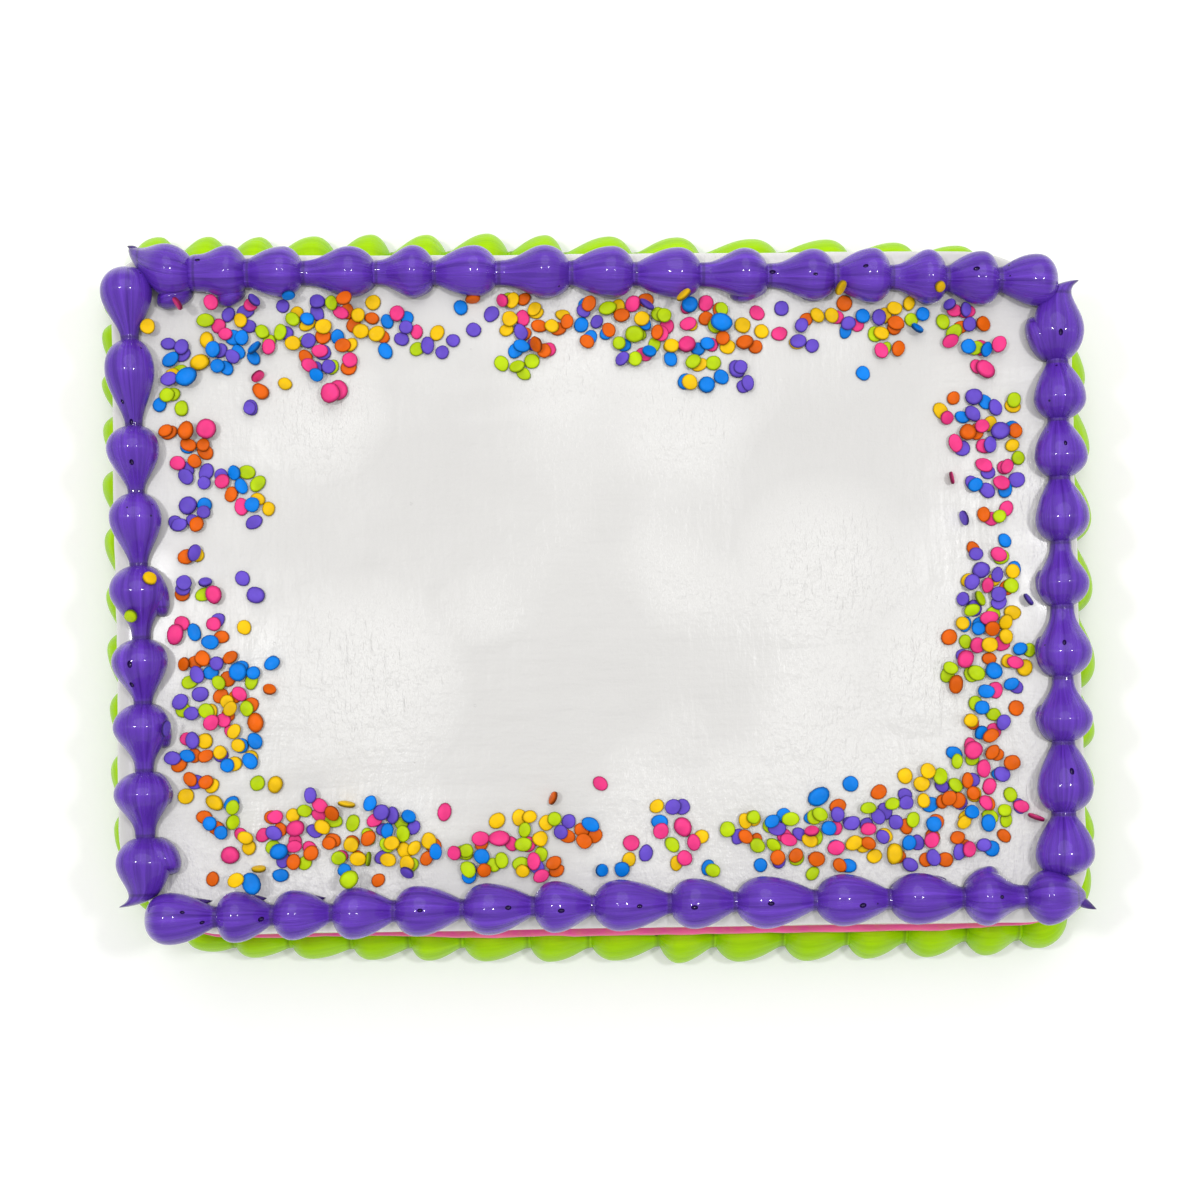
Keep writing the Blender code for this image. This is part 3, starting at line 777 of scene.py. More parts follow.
@dataclass
class PipedBorder:
    """One side's run of piped shells, fused to look like one pass of the bag.

    Attributes:
        name: The CAD node that the border replaces.
        run: The run's places and widths.
        form: What the border's shells have in common.
        line: The corners from which and to which the run goes.
        sizes: Relative size of each shell.
    """

    name: str
    run: BorderRun
    form: ShellForm
    line: tuple[tuple[float, float], ...]
    sizes: list[float]

    def __post_init__(self) -> None:
        """Note the shells that have a fold, and the ends of the line."""
        self.lobed = {lobe.index for lobe in self.run.lobes if lobe.point == 0}
        self.start, self.end = (Vector(corner) for corner in self.line)

    def place(self, distance: float) -> tuple[Vector, Vector]:
        """Return the point on the run's line and its outward direction at a distance."""
        along, outward = directions(self.start, self.end)
        middle = (self.start + self.end) / 2
        bend = self.run.bends[distance > 0]
        straight = (self.end - self.start).length / 2 - bend
        if bend == 0 or abs(distance) <= straight:
            point = middle + along * distance
        else:
            side = math.copysign(1, distance)
            angle = (abs(distance) - straight) / bend
            centre = middle + along * straight * side - outward * bend
            outward = outward * math.cos(angle) + along * side * math.sin(angle)
            point = centre + outward * bend
        return point + outward * self.blend(self.run.drift, distance), outward

    def blend(self, values: tuple[float, float, float], distance: float) -> float:
        """Read a smooth curve through start, middle and end values at a distance."""
        first, last = self.run.joints[0], self.run.joints[-1]
        return curve_through(values, (distance - first) / (last - first))

    def on_run(self, distance: float, aside: float, height: float, wave: float,
               angle: float) -> Vector:
        """Place a point beside the run's line.

        Args:
            distance: How far along the run.
            aside: How far outside the line.
            height: Half the height of the body there.
            wave: How far the surface waves outwards.
            angle: Angle round the body's axis, 0 outwards and a quarter turn upwards.

        Returns:
            The point in millimetres.
        """
        point, outward = self.place(distance)
        plan = point + outward * (aside + wave * math.cos(angle))
        up = self.form.base + self.form.lift * height + (height + wave) * math.sin(angle)
        return Vector((plan.x, plan.y, up))

    def wave(self, share: float, angle: float, key: float, girth: float) -> float:
        """Return how far the surface waves outwards, less where the body is thin."""
        place = Vector((math.cos(angle) * 1.2, math.sin(angle) * 1.2, share * 2.4 + key))
        return noise.noise(place) * self.form.wander * min(1.0, 2.5 * girth)

    def shell_point(self, index: int, share: float, angle: float) -> Vector:
        """Return a place on a shell at a share of its length and an angle round it."""
        run, form = self.run, self.form
        head = run.joints[index]
        length = run.joints[index + 1] - head
        last = index == len(run.joints) - 2
        reach, neck, pull = (1.0, form.last_neck, run.tip[0]) if last else (form.reach, run.neck, 0.0)
        distance = head + length * reach * share
        closing, blunt = run.tip[2:] if last else (form.closing, 0.5)
        neck = dict(run.necks).get(index, neck)
        fall = max(run.fall, LOBED_FALL) if index in self.lobed else run.fall
        girth = form.profile(share * reach, neck, fall) * (1 - share ** closing) ** blunt
        girth *= self.sizes[index]
        half_width = self.blend(run.half_width, distance) * girth
        aside = half_width * math.cos(angle) + pull * share ** run.tip[1]
        wave = self.wave(share, angle, index * 7.3, girth)
        return self.on_run(distance, aside, form.half_height * girth, wave, angle)

    def lobe_point(self, lobe: Lobe, share: float, angle: float) -> Vector:
        """Return a place on a fold at a share of its length and an angle round it."""
        run, form = self.run, self.form
        head = run.joints[lobe.index]
        length = run.joints[lobe.index + 1] - head
        distance = head + length * (lobe.begin + (lobe.end - lobe.begin) * share)
        widest = self.blend(run.half_width, distance) * self.sizes[lobe.index]
        girth = lobe.profile(share)
        offset = lobe.offsets[0] + (lobe.offsets[1] * lobe.scale - lobe.offsets[0]) * share
        aside = widest * (girth * math.cos(angle) - offset)
        height = form.half_height * self.sizes[lobe.index] * girth * lobe.tall
        wave = self.wave(share, angle, lobe.index * 7.3 + 3.1, girth)
        return self.on_run(distance, aside, height, wave, angle)

    def shaped_sphere(self, scale: float, key: float, surface: Callable[[float, float], Vector],
                      ) -> bmesh.types.BMesh:
        """Model a body from a sphere whose poles are its head and its tail.

        Args:
            scale: Its faces over those of a shell.
            key: Number that sets its streaks apart.
            surface: Gives the place at a share of the length and an angle.

        Returns:
            The bmesh in millimetres, with the flow stored on its face corners and the light of its
            painted shade in their fourth value.
        """
        form = self.form
        at_head, at_joint = form.creases
        body = bmesh.new()
        bmesh.ops.create_uvsphere(body, u_segments=int(form.sides * scale),
                                  v_segments=int(form.rings * scale), radius=1.0)
        flow = body.loops.layers.float_color.new("flow")
        for vert in body.verts:
            share = (1 - max(-1.0, min(1.0, vert.co.z))) / 2
            angle = math.atan2(vert.co.y, vert.co.x)
            vert.co = surface(share, angle)
            vert.co.z = max(vert.co.z, 0.0)
            # Painted shade: the light falls off towards the base and in the creases at the head and at
            # the joint, and the material darkens the colour by it.
            low = (vert.co.z - form.base) / (form.shaded * form.half_height)
            crease = min(share / at_head, abs(share * form.reach - 1.0) / at_joint) + form.crease_light
            light = min(1.0, max(0.0, low)) * min(1.0, crease)
            for loop in vert.link_loops:
                loop[flow] = (math.cos(angle), math.sin(angle), share + key * 5.0, light)
        body.normal_update()
        bmesh.ops.recalc_face_normals(body, faces=body.faces)
        return body

    def pit(self, body: bmesh.types.BMesh, index: int) -> bmesh.types.BMesh:
        """Cut a shell's bubble holes into it.

        Args:
            body: The shell, which is freed where it has holes.
            index: Its number.

        Returns:
            The shell with its holes, whose inside keeps no flow, so its light is 0 and it takes the
            painted shade.
        """
        holes = [(share, math.radians(angle)) for number, share, angle in self.run.pits
                 if number == index]
        if not holes:
            return body
        tools = bmesh.new()
        for share, angle in holes:
            before = len(tools.verts)
            bmesh.ops.create_icosphere(tools, subdivisions=2, radius=1.0)
            tools.verts.ensure_lookup_table()
            point = self.shell_point(index, share, angle)
            along = self.shell_point(index, share + 0.02, angle) - point
            matrix = Matrix.Translation(point) @ along.to_track_quat("X", "Z").to_matrix().to_4x4()
            size = 0.8 + 0.35 * noise.noise(Vector((index * 3.1, share * 9, 5.0)))
            bmesh.ops.transform(tools, verts=tools.verts[before:],
                                matrix=matrix @ Matrix.Diagonal((1.5 * size, 0.95 * size, 1.4 * size, 1)))
        shell, tool = add_object("shell", body), add_object("holes", tools)
        cut = shell.modifiers.new("holes", "BOOLEAN")
        cut.operation = "DIFFERENCE"
        cut.solver = "MANIFOLD"
        cut.object = tool
        return finished_body(shell, tool)

    def bodies(self) -> list[bmesh.types.BMesh]:
        """Model the run's shells and folds.

        Returns:
            Their bmeshes in millimetres.
        """
        shells = [self.pit(self.shaped_sphere(1.0, index, partial(self.shell_point, index)), index)
                  for index in range(len(self.run.joints) - 1)]
        folds = [self.shaped_sphere(0.6, 0.5 + lobe.index, partial(self.lobe_point, lobe))
                 for lobe in self.run.lobes]
        return shells + folds

    def build(self) -> bpy.types.Object:
        """Model the whole run as one object, in metres."""
        return fuse("piped_" + self.name, self.bodies(), 50)

    def dress(self, obj: bpy.types.Object, material: bpy.types.Material, icing: Icing) -> None:
        """Give the border its icing and let it stand for its CAD node."""
        finish_piece(obj, material, self.name)


def shell_sizes(runs: tuple[BorderRun, ...], wobble: float = 0.045, seed: int = 13) -> list[list[float]]:
    """Draw each run's relative shell sizes, which differ from 1 by the wobble at most."""
    draw = random.Random(seed)
    return [[1 + draw.uniform(-wobble, wobble) for _ in run.joints[1:]] for run in runs]


# Iced block


@dataclass
class IcedBlock:
    """The block of white icing with its spatula marks.

    Attributes:
        step: Spacing of the surface grid in millimetres.
        corner_segments, rim_segments: Faces round the corners and the top edge.
        swell: Height of the long waves in the top.
        wall_swell: Depth of the waves in the walls.
    """

    step: float = 3.2
    corner_segments: int = 14
    rim_segments: int = 6
    swell: float = 0.35
    wall_swell: float = 0.5

    def build(self) -> bpy.types.Object:
        """Model the block.

        Returns:
            The block in metres.
        """
        block = bmesh.new()
        bmesh.ops.create_cube(block, size=1.0)
        corners = {(-1, 1): PLAN.back_left, (1, 1): PLAN.back_right,
                   (1, -1): PLAN.front_right, (-1, -1): PLAN.front_left}
        for vert in block.verts:
            side = (int(math.copysign(1, vert.co.x)), int(math.copysign(1, vert.co.y)))
            on_top = vert.co.z > 0
            x, y = corners[side] if on_top else PLAN.foot(corners[side])
            vert.co = Vector((x, y, PLAN.height if on_top else 0.0))
        for corner, radius in zip(PLAN.corners(), PLAN.corner_rounds):
            upright = [edge for edge in block.edges
                       if abs(edge.verts[0].co.z - edge.verts[1].co.z) > PLAN.height / 2]
            nearest = min(upright, key=lambda edge: (edge.verts[0].co.xy - Vector(corner)).length)
            bmesh.ops.bevel(block, geom=[nearest], offset=radius, offset_type="OFFSET",
                            segments=self.corner_segments, profile=0.5, affect="EDGES", material=-1)
        rim = [edge for edge in block.edges
               if min(vert.co.z for vert in edge.verts) > PLAN.height / 2]
        bmesh.ops.bevel(block, geom=rim, offset=PLAN.rim_round, offset_type="OFFSET",
                        segments=self.rim_segments, profile=0.5, affect="EDGES", material=-1)
        self.cut_grid(block)
        self.wave(block)
        return fuse("iced_block", [block], 60)

    def cut_grid(self, block: bmesh.types.BMesh) -> None:
        """Cut the block's faces into a grid fine enough for its waves.

        Args:
            block: The block, cut in place.
        """
        reach = (165.0, 116.0, PLAN.height)
        for axis in range(3):
            low = 6.0 if axis == 2 else -reach[axis]
            high = reach[axis] - 6.0 if axis == 2 else reach[axis]
            count = int((high - low) / (self.step if axis < 2 else 2 * self.step))
            for number in range(1, count):
                normal = Vector([1.0 if a == axis else 0.0 for a in range(3)])
                place = normal * (low + (high - low) * number / count)
                geom = list(block.verts) + list(block.edges) + list(block.faces)
                bmesh.ops.bisect_plane(block, geom=geom, dist=1e-4, plane_co=place, plane_no=normal)

    def wave(self, block: bmesh.types.BMesh) -> None:
        """Let the icing swell and sink as a spatula leaves it.

        Args:
            block: The block, moved in place.
        """
        block.normal_update()
        moves = []
        for vert in block.verts:
            x, y, z = vert.co
            long_wave = noise.noise(Vector((x * 0.012, y * 0.017, z * 0.02)))
            stroke = noise.noise(Vector((x * 0.03 + y * 0.01, y * 0.11 - x * 0.02, z * 0.05 + 4.0)))
            fine = noise.noise(Vector((x * 0.12, y * 0.16, z * 0.12 + 9.0)))
            amount = self.swell if vert.normal.z > 0.5 else self.wall_swell
            depth = amount * (0.9 * long_wave + 0.55 * stroke + 0.25 * fine)
            grounded = min(1.0, max(0.0, z / 6.0))
            moves.append(vert.normal * depth * grounded)
        for vert, move in zip(block.verts, moves):
            vert.co += move

    def dress(self, obj: bpy.types.Object, material: bpy.types.Material) -> None:
        """Give the block its icing and let it stand for the cake's CAD node."""
        finish_piece(obj, material, "cake")


@dataclass
class SideLine:
    """The thread of pink icing round the wall.

    Attributes:
        height, radius: Its height above the floor and its radius in millimetres.
        corner_steps, straight_steps: Points round a corner and along a side.
        wander: How far the thread strays up and down.
        sunk: Places along the front beyond which the thread gets thinner.
        fading: Over what length it does.
    """

    height: float = 26.2
    radius: float = 2.6
    corner_steps: int = 10
    straight_steps: int = 60
    wander: float = 0.8
    sunk: tuple[float, float] = (-50.0, 116.0)
    fading: float = 24.0

    def outline(self) -> list[Vector]:
        """Return the wall's outline at the thread's height, going round anticlockwise."""
        spread = PLAN.flare * (1 - self.height / PLAN.height)
        points = []
        around = zip(reversed(PLAN.corners()), reversed(PLAN.corner_rounds))
        for quarter, (corner, radius) in enumerate(around):
            centre = Vector([value - math.copysign(radius - spread, value) for value in corner])
            arc = [centre + radius * Vector((math.cos(angle), math.sin(angle)))
                   for angle in (math.pi * (1 + quarter / 2) + math.pi / 2 * step / self.corner_steps
                                 for step in range(self.corner_steps + 1))]
            if points:
                points += self.between(points[-1], arc[0])
            points += arc
        return points + self.between(points[-1], points[0])

    def between(self, start: Vector, end: Vector) -> list[Vector]:
        """Return the points between two corners."""
        return [start.lerp(end, step / self.straight_steps) for step in range(1, self.straight_steps)]

    def build(self) -> bpy.types.Object:
        """Model the thread as a bevelled curve whose radius swells and thins.

        Returns:
            The thread's mesh object, in metres.
        """
        curve = bpy.data.curves.new("thread", "CURVE")
        curve.dimensions = "3D"
        curve.bevel_depth = self.radius * MM
        curve.bevel_resolution = 5
        spline = curve.splines.new("POLY")
        points = self.outline()
        spline.points.add(len(points) - 1)
        shift = PLAN.shift()
        for target, (x, y) in zip(spline.points, points):
            stray = noise.noise(Vector((x * 0.05, y * 0.05, 2.0))) * self.wander
            target.co = (x * MM + shift.x, y * MM + shift.y, (self.height + stray) * MM, 1.0)
            beyond = max(self.sunk[0] - x, x - self.sunk[1], 0.0) if y < 0 else 0.0
            thinner = 1.0 - 0.5 * min(1.0, beyond / self.fading)
            target.radius = thinner + 0.14 * noise.noise(Vector((x * 0.13, y * 0.13, 7.0)))
        spline.use_cyclic_u = True
        guide = bpy.data.objects.new("thread_guide", curve)
        bpy.context.scene.collection.objects.link(guide)
        body = finished_body(guide)
        flow = body.loops.layers.float_color.new("flow")
        for face in body.faces:
            for loop in face.loops:
                x, y, z = loop.vert.co
                loop[flow] = (z / self.radius / MM, 0.0, math.atan2(y, x), 1.0)
        body.normal_update()
        bmesh.ops.recalc_face_normals(body, faces=body.faces)
        obj = add_object("piped_side_line", body)
        smooth_but_sharp(obj, 60)
        return obj

    def dress(self, obj: bpy.types.Object, material: bpy.types.Material) -> None:
        """Give the thread its icing and let it stand for its CAD node."""
        finish_piece(obj, material, "side_line")


# Sprinkles


@dataclass(frozen=True)
class Heap:
    """A loose heap of sprinkles: its centre, half width, half depth and count."""

    x: float
    y: float
    half_width: float
    half_depth: float
    count: int


HEAPS = tuple(Heap(*values) for values in (
    (-123, 94, 5.5, 6, 9), (-129, 83, 11, 5, 14), (-148, 79, 6, 6, 9), (-148, 68, 4.5, 4, 4),
    (-111.5, 86.5, 3.5, 3, 3), (-100, 90, 7, 6, 14), (-86, 90, 5.5, 5.5, 8), (-90, 80, 8, 4, 10),
    (-70, 88, 8, 6, 10), (-55, 84.5, 6, 4, 5), (-25, 94, 7, 6, 12), (-22, 84, 6, 4, 7),
    (-27, 77.5, 4.5, 4, 4), (-12.5, 90.5, 3, 3.5, 4), (11, 97.5, 6.5, 4, 8), (0, 90, 5, 7, 9),
    (11, 88, 6, 5, 12), (20, 88, 5, 5, 9), (13, 81, 6, 3.5, 7), (24, 80, 4, 2.5, 3), (36, 92.5, 8, 4, 9),
    (38, 83.5, 8, 3, 8), (37, 77, 5, 2.5, 3), (38, 70.5, 6.5, 3, 4), (51, 72, 3, 4, 3),
    (53, 85, 4.5, 5, 4), (73.5, 90.5, 3, 3, 3), (72.5, 81.5, 3.5, 2, 3), (88, 93, 5.5, 6, 10),
    (98, 91, 6, 5, 9), (109, 91.5, 4, 5, 6), (100, 83.5, 5, 4, 7), (125, 89, 4.5, 3.5, 6),
    (131.5, 81, 3, 9, 10), (122, 59, 4, 5, 4), (132, 61, 5, 4, 6), (141.5, 60, 3, 1.5, 2),
    (135, 51, 7, 5, 11), (125, 50, 2.5, 4, 3), (144, 44.5, 2.5, 2.5, 2), (136, 35, 7, 4.5, 11),
    (136, 23.5, 4, 2.5, 4), (137, 12, 2.5, 4, 3), (127, 10.5, 2, 4, 2), (135, 1, 8, 3.5, 11),
    (127, -5, 4, 5, 6), (134, -11, 6, 6, 14), (122, -18, 4, 3, 4), (133, -20, 7, 3.5, 9),
    (144, -26, 4.5, 4, 6), (130, -28, 6, 4, 8), (121.5, -31, 3, 4, 3), (131, -35, 4.5, 3, 4),
    (142, -36, 4.5, 1.5, 2), (131, -46.5, 5, 5.5, 9), (128, -59, 7, 4.5, 8), (131, -68, 4.5, 3, 4),
    (117, -71.5, 8, 5, 17), (106, -73, 4.5, 2.5, 4), (100, -78.5, 7, 4.5, 11), (126, -78, 6, 5, 9),
    (137, -77, 4, 4, 4), (107, -84.5, 7, 4, 13), (102, -92.5, 3, 4, 5), (115, -91, 8, 4, 12),
    (127, -91.5, 4.5, 2.5, 4), (92, -89, 6, 3.5, 8), (89, -82.5, 4.5, 3, 5), (82, -95, 2, 4, 3),
    (66, -83.5, 8, 5, 14), (78, -83, 5, 6, 10), (54, -80, 7, 2, 5), (53, -86.5, 6, 3, 7),
    (66, -91, 9, 3, 11), (57.5, -97.5, 4, 3.5, 4), (75.5, -97, 4.5, 3.5, 4), (23, -80, 6, 5, 6),
    (32, -86, 2.5, 3, 3), (26, -92, 5, 4, 3), (33, -98.5, 4, 2.5, 3), (10, -92, 4, 6, 4),
    (0, -97.5, 4, 1.5, 2), (-26, -79, 9, 1.5, 5), (-31, -85, 9, 3, 9), (-8, -83, 6, 3.5, 7),
    (-41, -94, 6, 6, 9), (-28, -91.5, 7, 4, 8), (-20, -95.5, 4.5, 2.5, 5), (-71, -80, 6.5, 4, 9),
    (-77, -87.5, 7, 4.5, 10), (-64, -89, 7, 5, 12), (-84, -92, 6, 3, 6), (-98, -77, 6, 4, 8),
    (-108, -82, 7, 5, 10), (-104, -89.5, 5, 3, 7), (-91, -84.5, 5, 2, 4), (-129, -76, 5, 5, 8),
    (-124, -85, 4, 4, 4), (-138, -66, 6, 3, 5), (-137, -55, 7, 4.5, 10), (-124, -54, 7, 5.5, 9),
    (-124, -41, 8, 6, 17), (-139, -36, 4, 5, 5), (-125, -29, 7, 5.5, 14), (-137, -26, 4, 3.5, 5),
    (-114, -29, 3.5, 5, 4), (-146, -25.5, 2, 2.5, 2), (-142, -12.5, 3.5, 4, 3), (-130, -14.5, 4, 5, 4),
    (-137, 1, 7, 2.5, 6), (-138.5, 13.5, 2.5, 2, 3), (-139, 26.5, 5, 4.5, 8), (-120, 36, 5, 6, 8),
    (-130, 39, 4.5, 3, 5), (-137, 44.5, 5.5, 6, 10), (-148, 53.5, 2, 2, 2),
))

# Sprinkles that lie apart: their plan places by colour, then those that are swollen to a
# lump and those that stand on edge
SINGLES = {
    "purple": ((-116.3, 99.6), (-107, 98.2), (-95, 99.4), (-118.2, 63.2), (-41.5, 88.9), (-35.3, 94.4),
               (64.5, 94.7), (50, 74.2), (122, 94.7), (127.5, 92.9), (-98.4, -69.6), (-66, -96.0),
               (-145.5, -46.3), (-121.3, 4.4), (-116.8, -1.3), (-117.3, 23.7), (-118.5, 62.9)),
    "blue": ((-104, 100.4), (-95.3, 73.7), (-45.8, 96.7), (92, 71.7),
             (84.5, -68.6), (-78.2, -72.6), (-109, -96.5)),
    "pink": ((-131, 99.0), (-31.3, 98.4), (56, 93.2), (63.5, 85.9), (122, 82.2),
             (138.5, 80.7), (142, -77.1), (-0.4, -67.3), (-53.3, -76.1), (-50, -89.8), (-133, 55.7)),
    "orange": ((-84.8, 98.7), (-114.8, 68.7), (-41.5, 99.4), (141.5, -43.8), (139, -62.3), (94, -71.6),
               (136, -87), (-76, -98.6), (-132, -97.3), (-140, 55.2)),
    "lime": ((-133.4, 93.4), (-90, 98.6), (-142, 63.2), (90, -76.8), (42.3, -83.3), (-84.5, -79.3),
             (-84.7, -97.6), (-116.6, -65.3), (-157.7, -8.3)),
    "yellow": ((-152.8, 91.2), (-76, 98.9), (-106.4, 71.2), (30.5, 97.7), (84, 99.7), (117.5, 99.2),
               (110.5, -64.5), (103, -66.3), (-122.5, -97.3), (-116, -94.1), (-110.5, -65.8),
               (-150.7, 4.1), (-120.9, -12.3), (-112.3, 28.2)),
}
LUMPS = {
    "blue": ((-139.7, 73.7), (43.5, 89.7), (73.5, -72.8), (-117.5, -98.6)),
    "pink": ((-88.2, 68.5), (-90.6, 67.3), (-133, 55.7)),
}
ON_EDGE = {
    "pink": ((-141.3, 97.6), (-115.5, 73.7), (121.3, 35), (146.7, -80.8)),
    "purple": ((125, 21.2), (146.3, -7.1)),
    "orange": ((-16.4, -71.8),),
    "yellow": ((-86.3, -72.8),),
}


@dataclass
class Disc:
    """One sprinkle, in millimetres.

    Attributes:
        x, y: Its place in the plan.
        normal: Its axis.
        radius, thickness: Its size.
        colour: Its colour number.
        height: Height of its centre, once it lies.
        turn: How it lies.
        stretch: Factor of its length, by which its width is divided.
    """

    x: float
    y: float
    normal: Vector
    radius: float
    thickness: float
    colour: int
    height: float = 0.0
    turn: Matrix | None = None
    stretch: float = 1.0


@dataclass
class Landscape:
    """The height of what lies on the cake, on a fine grid over its top.

    Attributes:
        step: Spacing of the grid in millimetres.
        every: Grid steps between the rays that read finished pieces.
        reach: Half width and half depth that the grid covers.
        heights: The heights, in millimetres.
        sunk: How far a disc sinks into what it lies on.
    """

    step: float = 0.5
    every: int = 3
    reach: tuple[float, float] = (172.0, 124.0)
    sunk: float = 0.15
    heights: np.ndarray = field(init=False)

    def __post_init__(self) -> None:
        """Start with nothing on the grid."""
        shape = [int(2 * r / self.step) + 1 for r in self.reach]
        self.heights = np.full(shape, -1.0)

    def lay_down(self, objects: list[bpy.types.Object]) -> None:
        """Read the top of finished pieces into the grid by rays from above.

        Args:
            objects: The pieces, in metres.
        """
        shift = PLAN.shift()
        trees = []
        for obj in objects:
            body = bmesh.new()
            body.from_mesh(obj.data)
            trees.append(BVHTree.FromBMesh(body))
            body.free()
        down = Vector((0, 0, -1))
        every = self.every
        coarse = self.heights[::every, ::every]
        for i in range(coarse.shape[0]):
            for j in range(coarse.shape[1]):
                x = (i * every * self.step - self.reach[0]) * MM + shift.x
                y = (j * every * self.step - self.reach[1]) * MM + shift.y
                for tree in trees:
                    hit = tree.ray_cast(Vector((x, y, 0.2)), down)[0]
                    if hit is not None:
                        coarse[i, j] = max(coarse[i, j], hit.z / MM)
        spread = np.repeat(np.repeat(coarse, every, axis=0), every, axis=1)
        self.heights = spread[:self.heights.shape[0], :self.heights.shape[1]].copy()

    def normal(self, x: float, y: float, reach: float = 1.6) -> Vector:
        """Return the upward normal of the ground at a place, over a reach to each side."""
        i, j = self.cell(x, y)
        cells = int(round(reach / self.step))
        across = self.heights[i + cells, j] - self.heights[i - cells, j]
        along = self.heights[i, j + cells] - self.heights[i, j - cells]
        return Vector((-across, -along, 2 * cells * self.step)).normalized()

    def cell(self, x: float, y: float) -> tuple[int, int]:
        """Return the grid's cell at a place."""
        return (int(round((x + self.reach[0]) / self.step)),
                int(round((y + self.reach[1]) / self.step)))

    def footprint(self, disc: Disc) -> tuple[tuple[slice, slice], np.ndarray, np.ndarray, np.ndarray]:
        """Work out a disc's under and upper side over the grid.

        Args:
            disc: The disc.

        Returns:
            The grid's window, which cells the disc covers, and the heights of its under
            side and its upper side over its centre.
        """
        i, j = self.cell(disc.x, disc.y)
        cells = int(math.ceil((disc.radius + 0.5) / self.step))
        columns = np.arange(i - cells, i + cells + 1)
        rows = np.arange(j - cells, j + cells + 1)
        gx = (columns * self.step - self.reach[0] - disc.x)[:, None]
        gy = (rows * self.step - self.reach[1] - disc.y)[None, :]
        normal, radius, half_thick = disc.normal, disc.radius, disc.thickness / 2
        steep = max(normal.z, 0.15)
        plane = -(gx * normal.x + gy * normal.y) / steep
        flat = math.hypot(normal.x, normal.y)
        ux, uy = (normal.x / flat, normal.y / flat) if flat > 1e-6 else (1.0, 0.0)
        along = gx * ux + gy * uy
        across = -gx * uy + gy * ux
        half = radius * steep + half_thick * flat
        covered = (along / half) ** 2 + (across / radius) ** 2 <= 1.0
        reach = radius * flat + half_thick * steep
        under = np.maximum(plane - half_thick / steep, -reach)
        upper = np.minimum(plane + half_thick / steep, reach)
        window = (slice(i - cells, i + cells + 1), slice(j - cells, j + cells + 1))
        return window, covered, under, upper

    def rest(self, disc: Disc) -> float:
        """Return the height of a disc's centre where it comes to rest."""
        window, covered, under, _ = self.footprint(disc)
        return float(np.max(np.where(covered, self.heights[window] - under, -1.0))) - self.sunk

    def settle(self, disc: Disc) -> None:
        """Raise the landscape by a disc at rest."""
        window, covered, _, upper = self.footprint(disc)
        here = self.heights[window]
        self.heights[window] = np.where(covered, np.maximum(here, disc.height + upper), here)


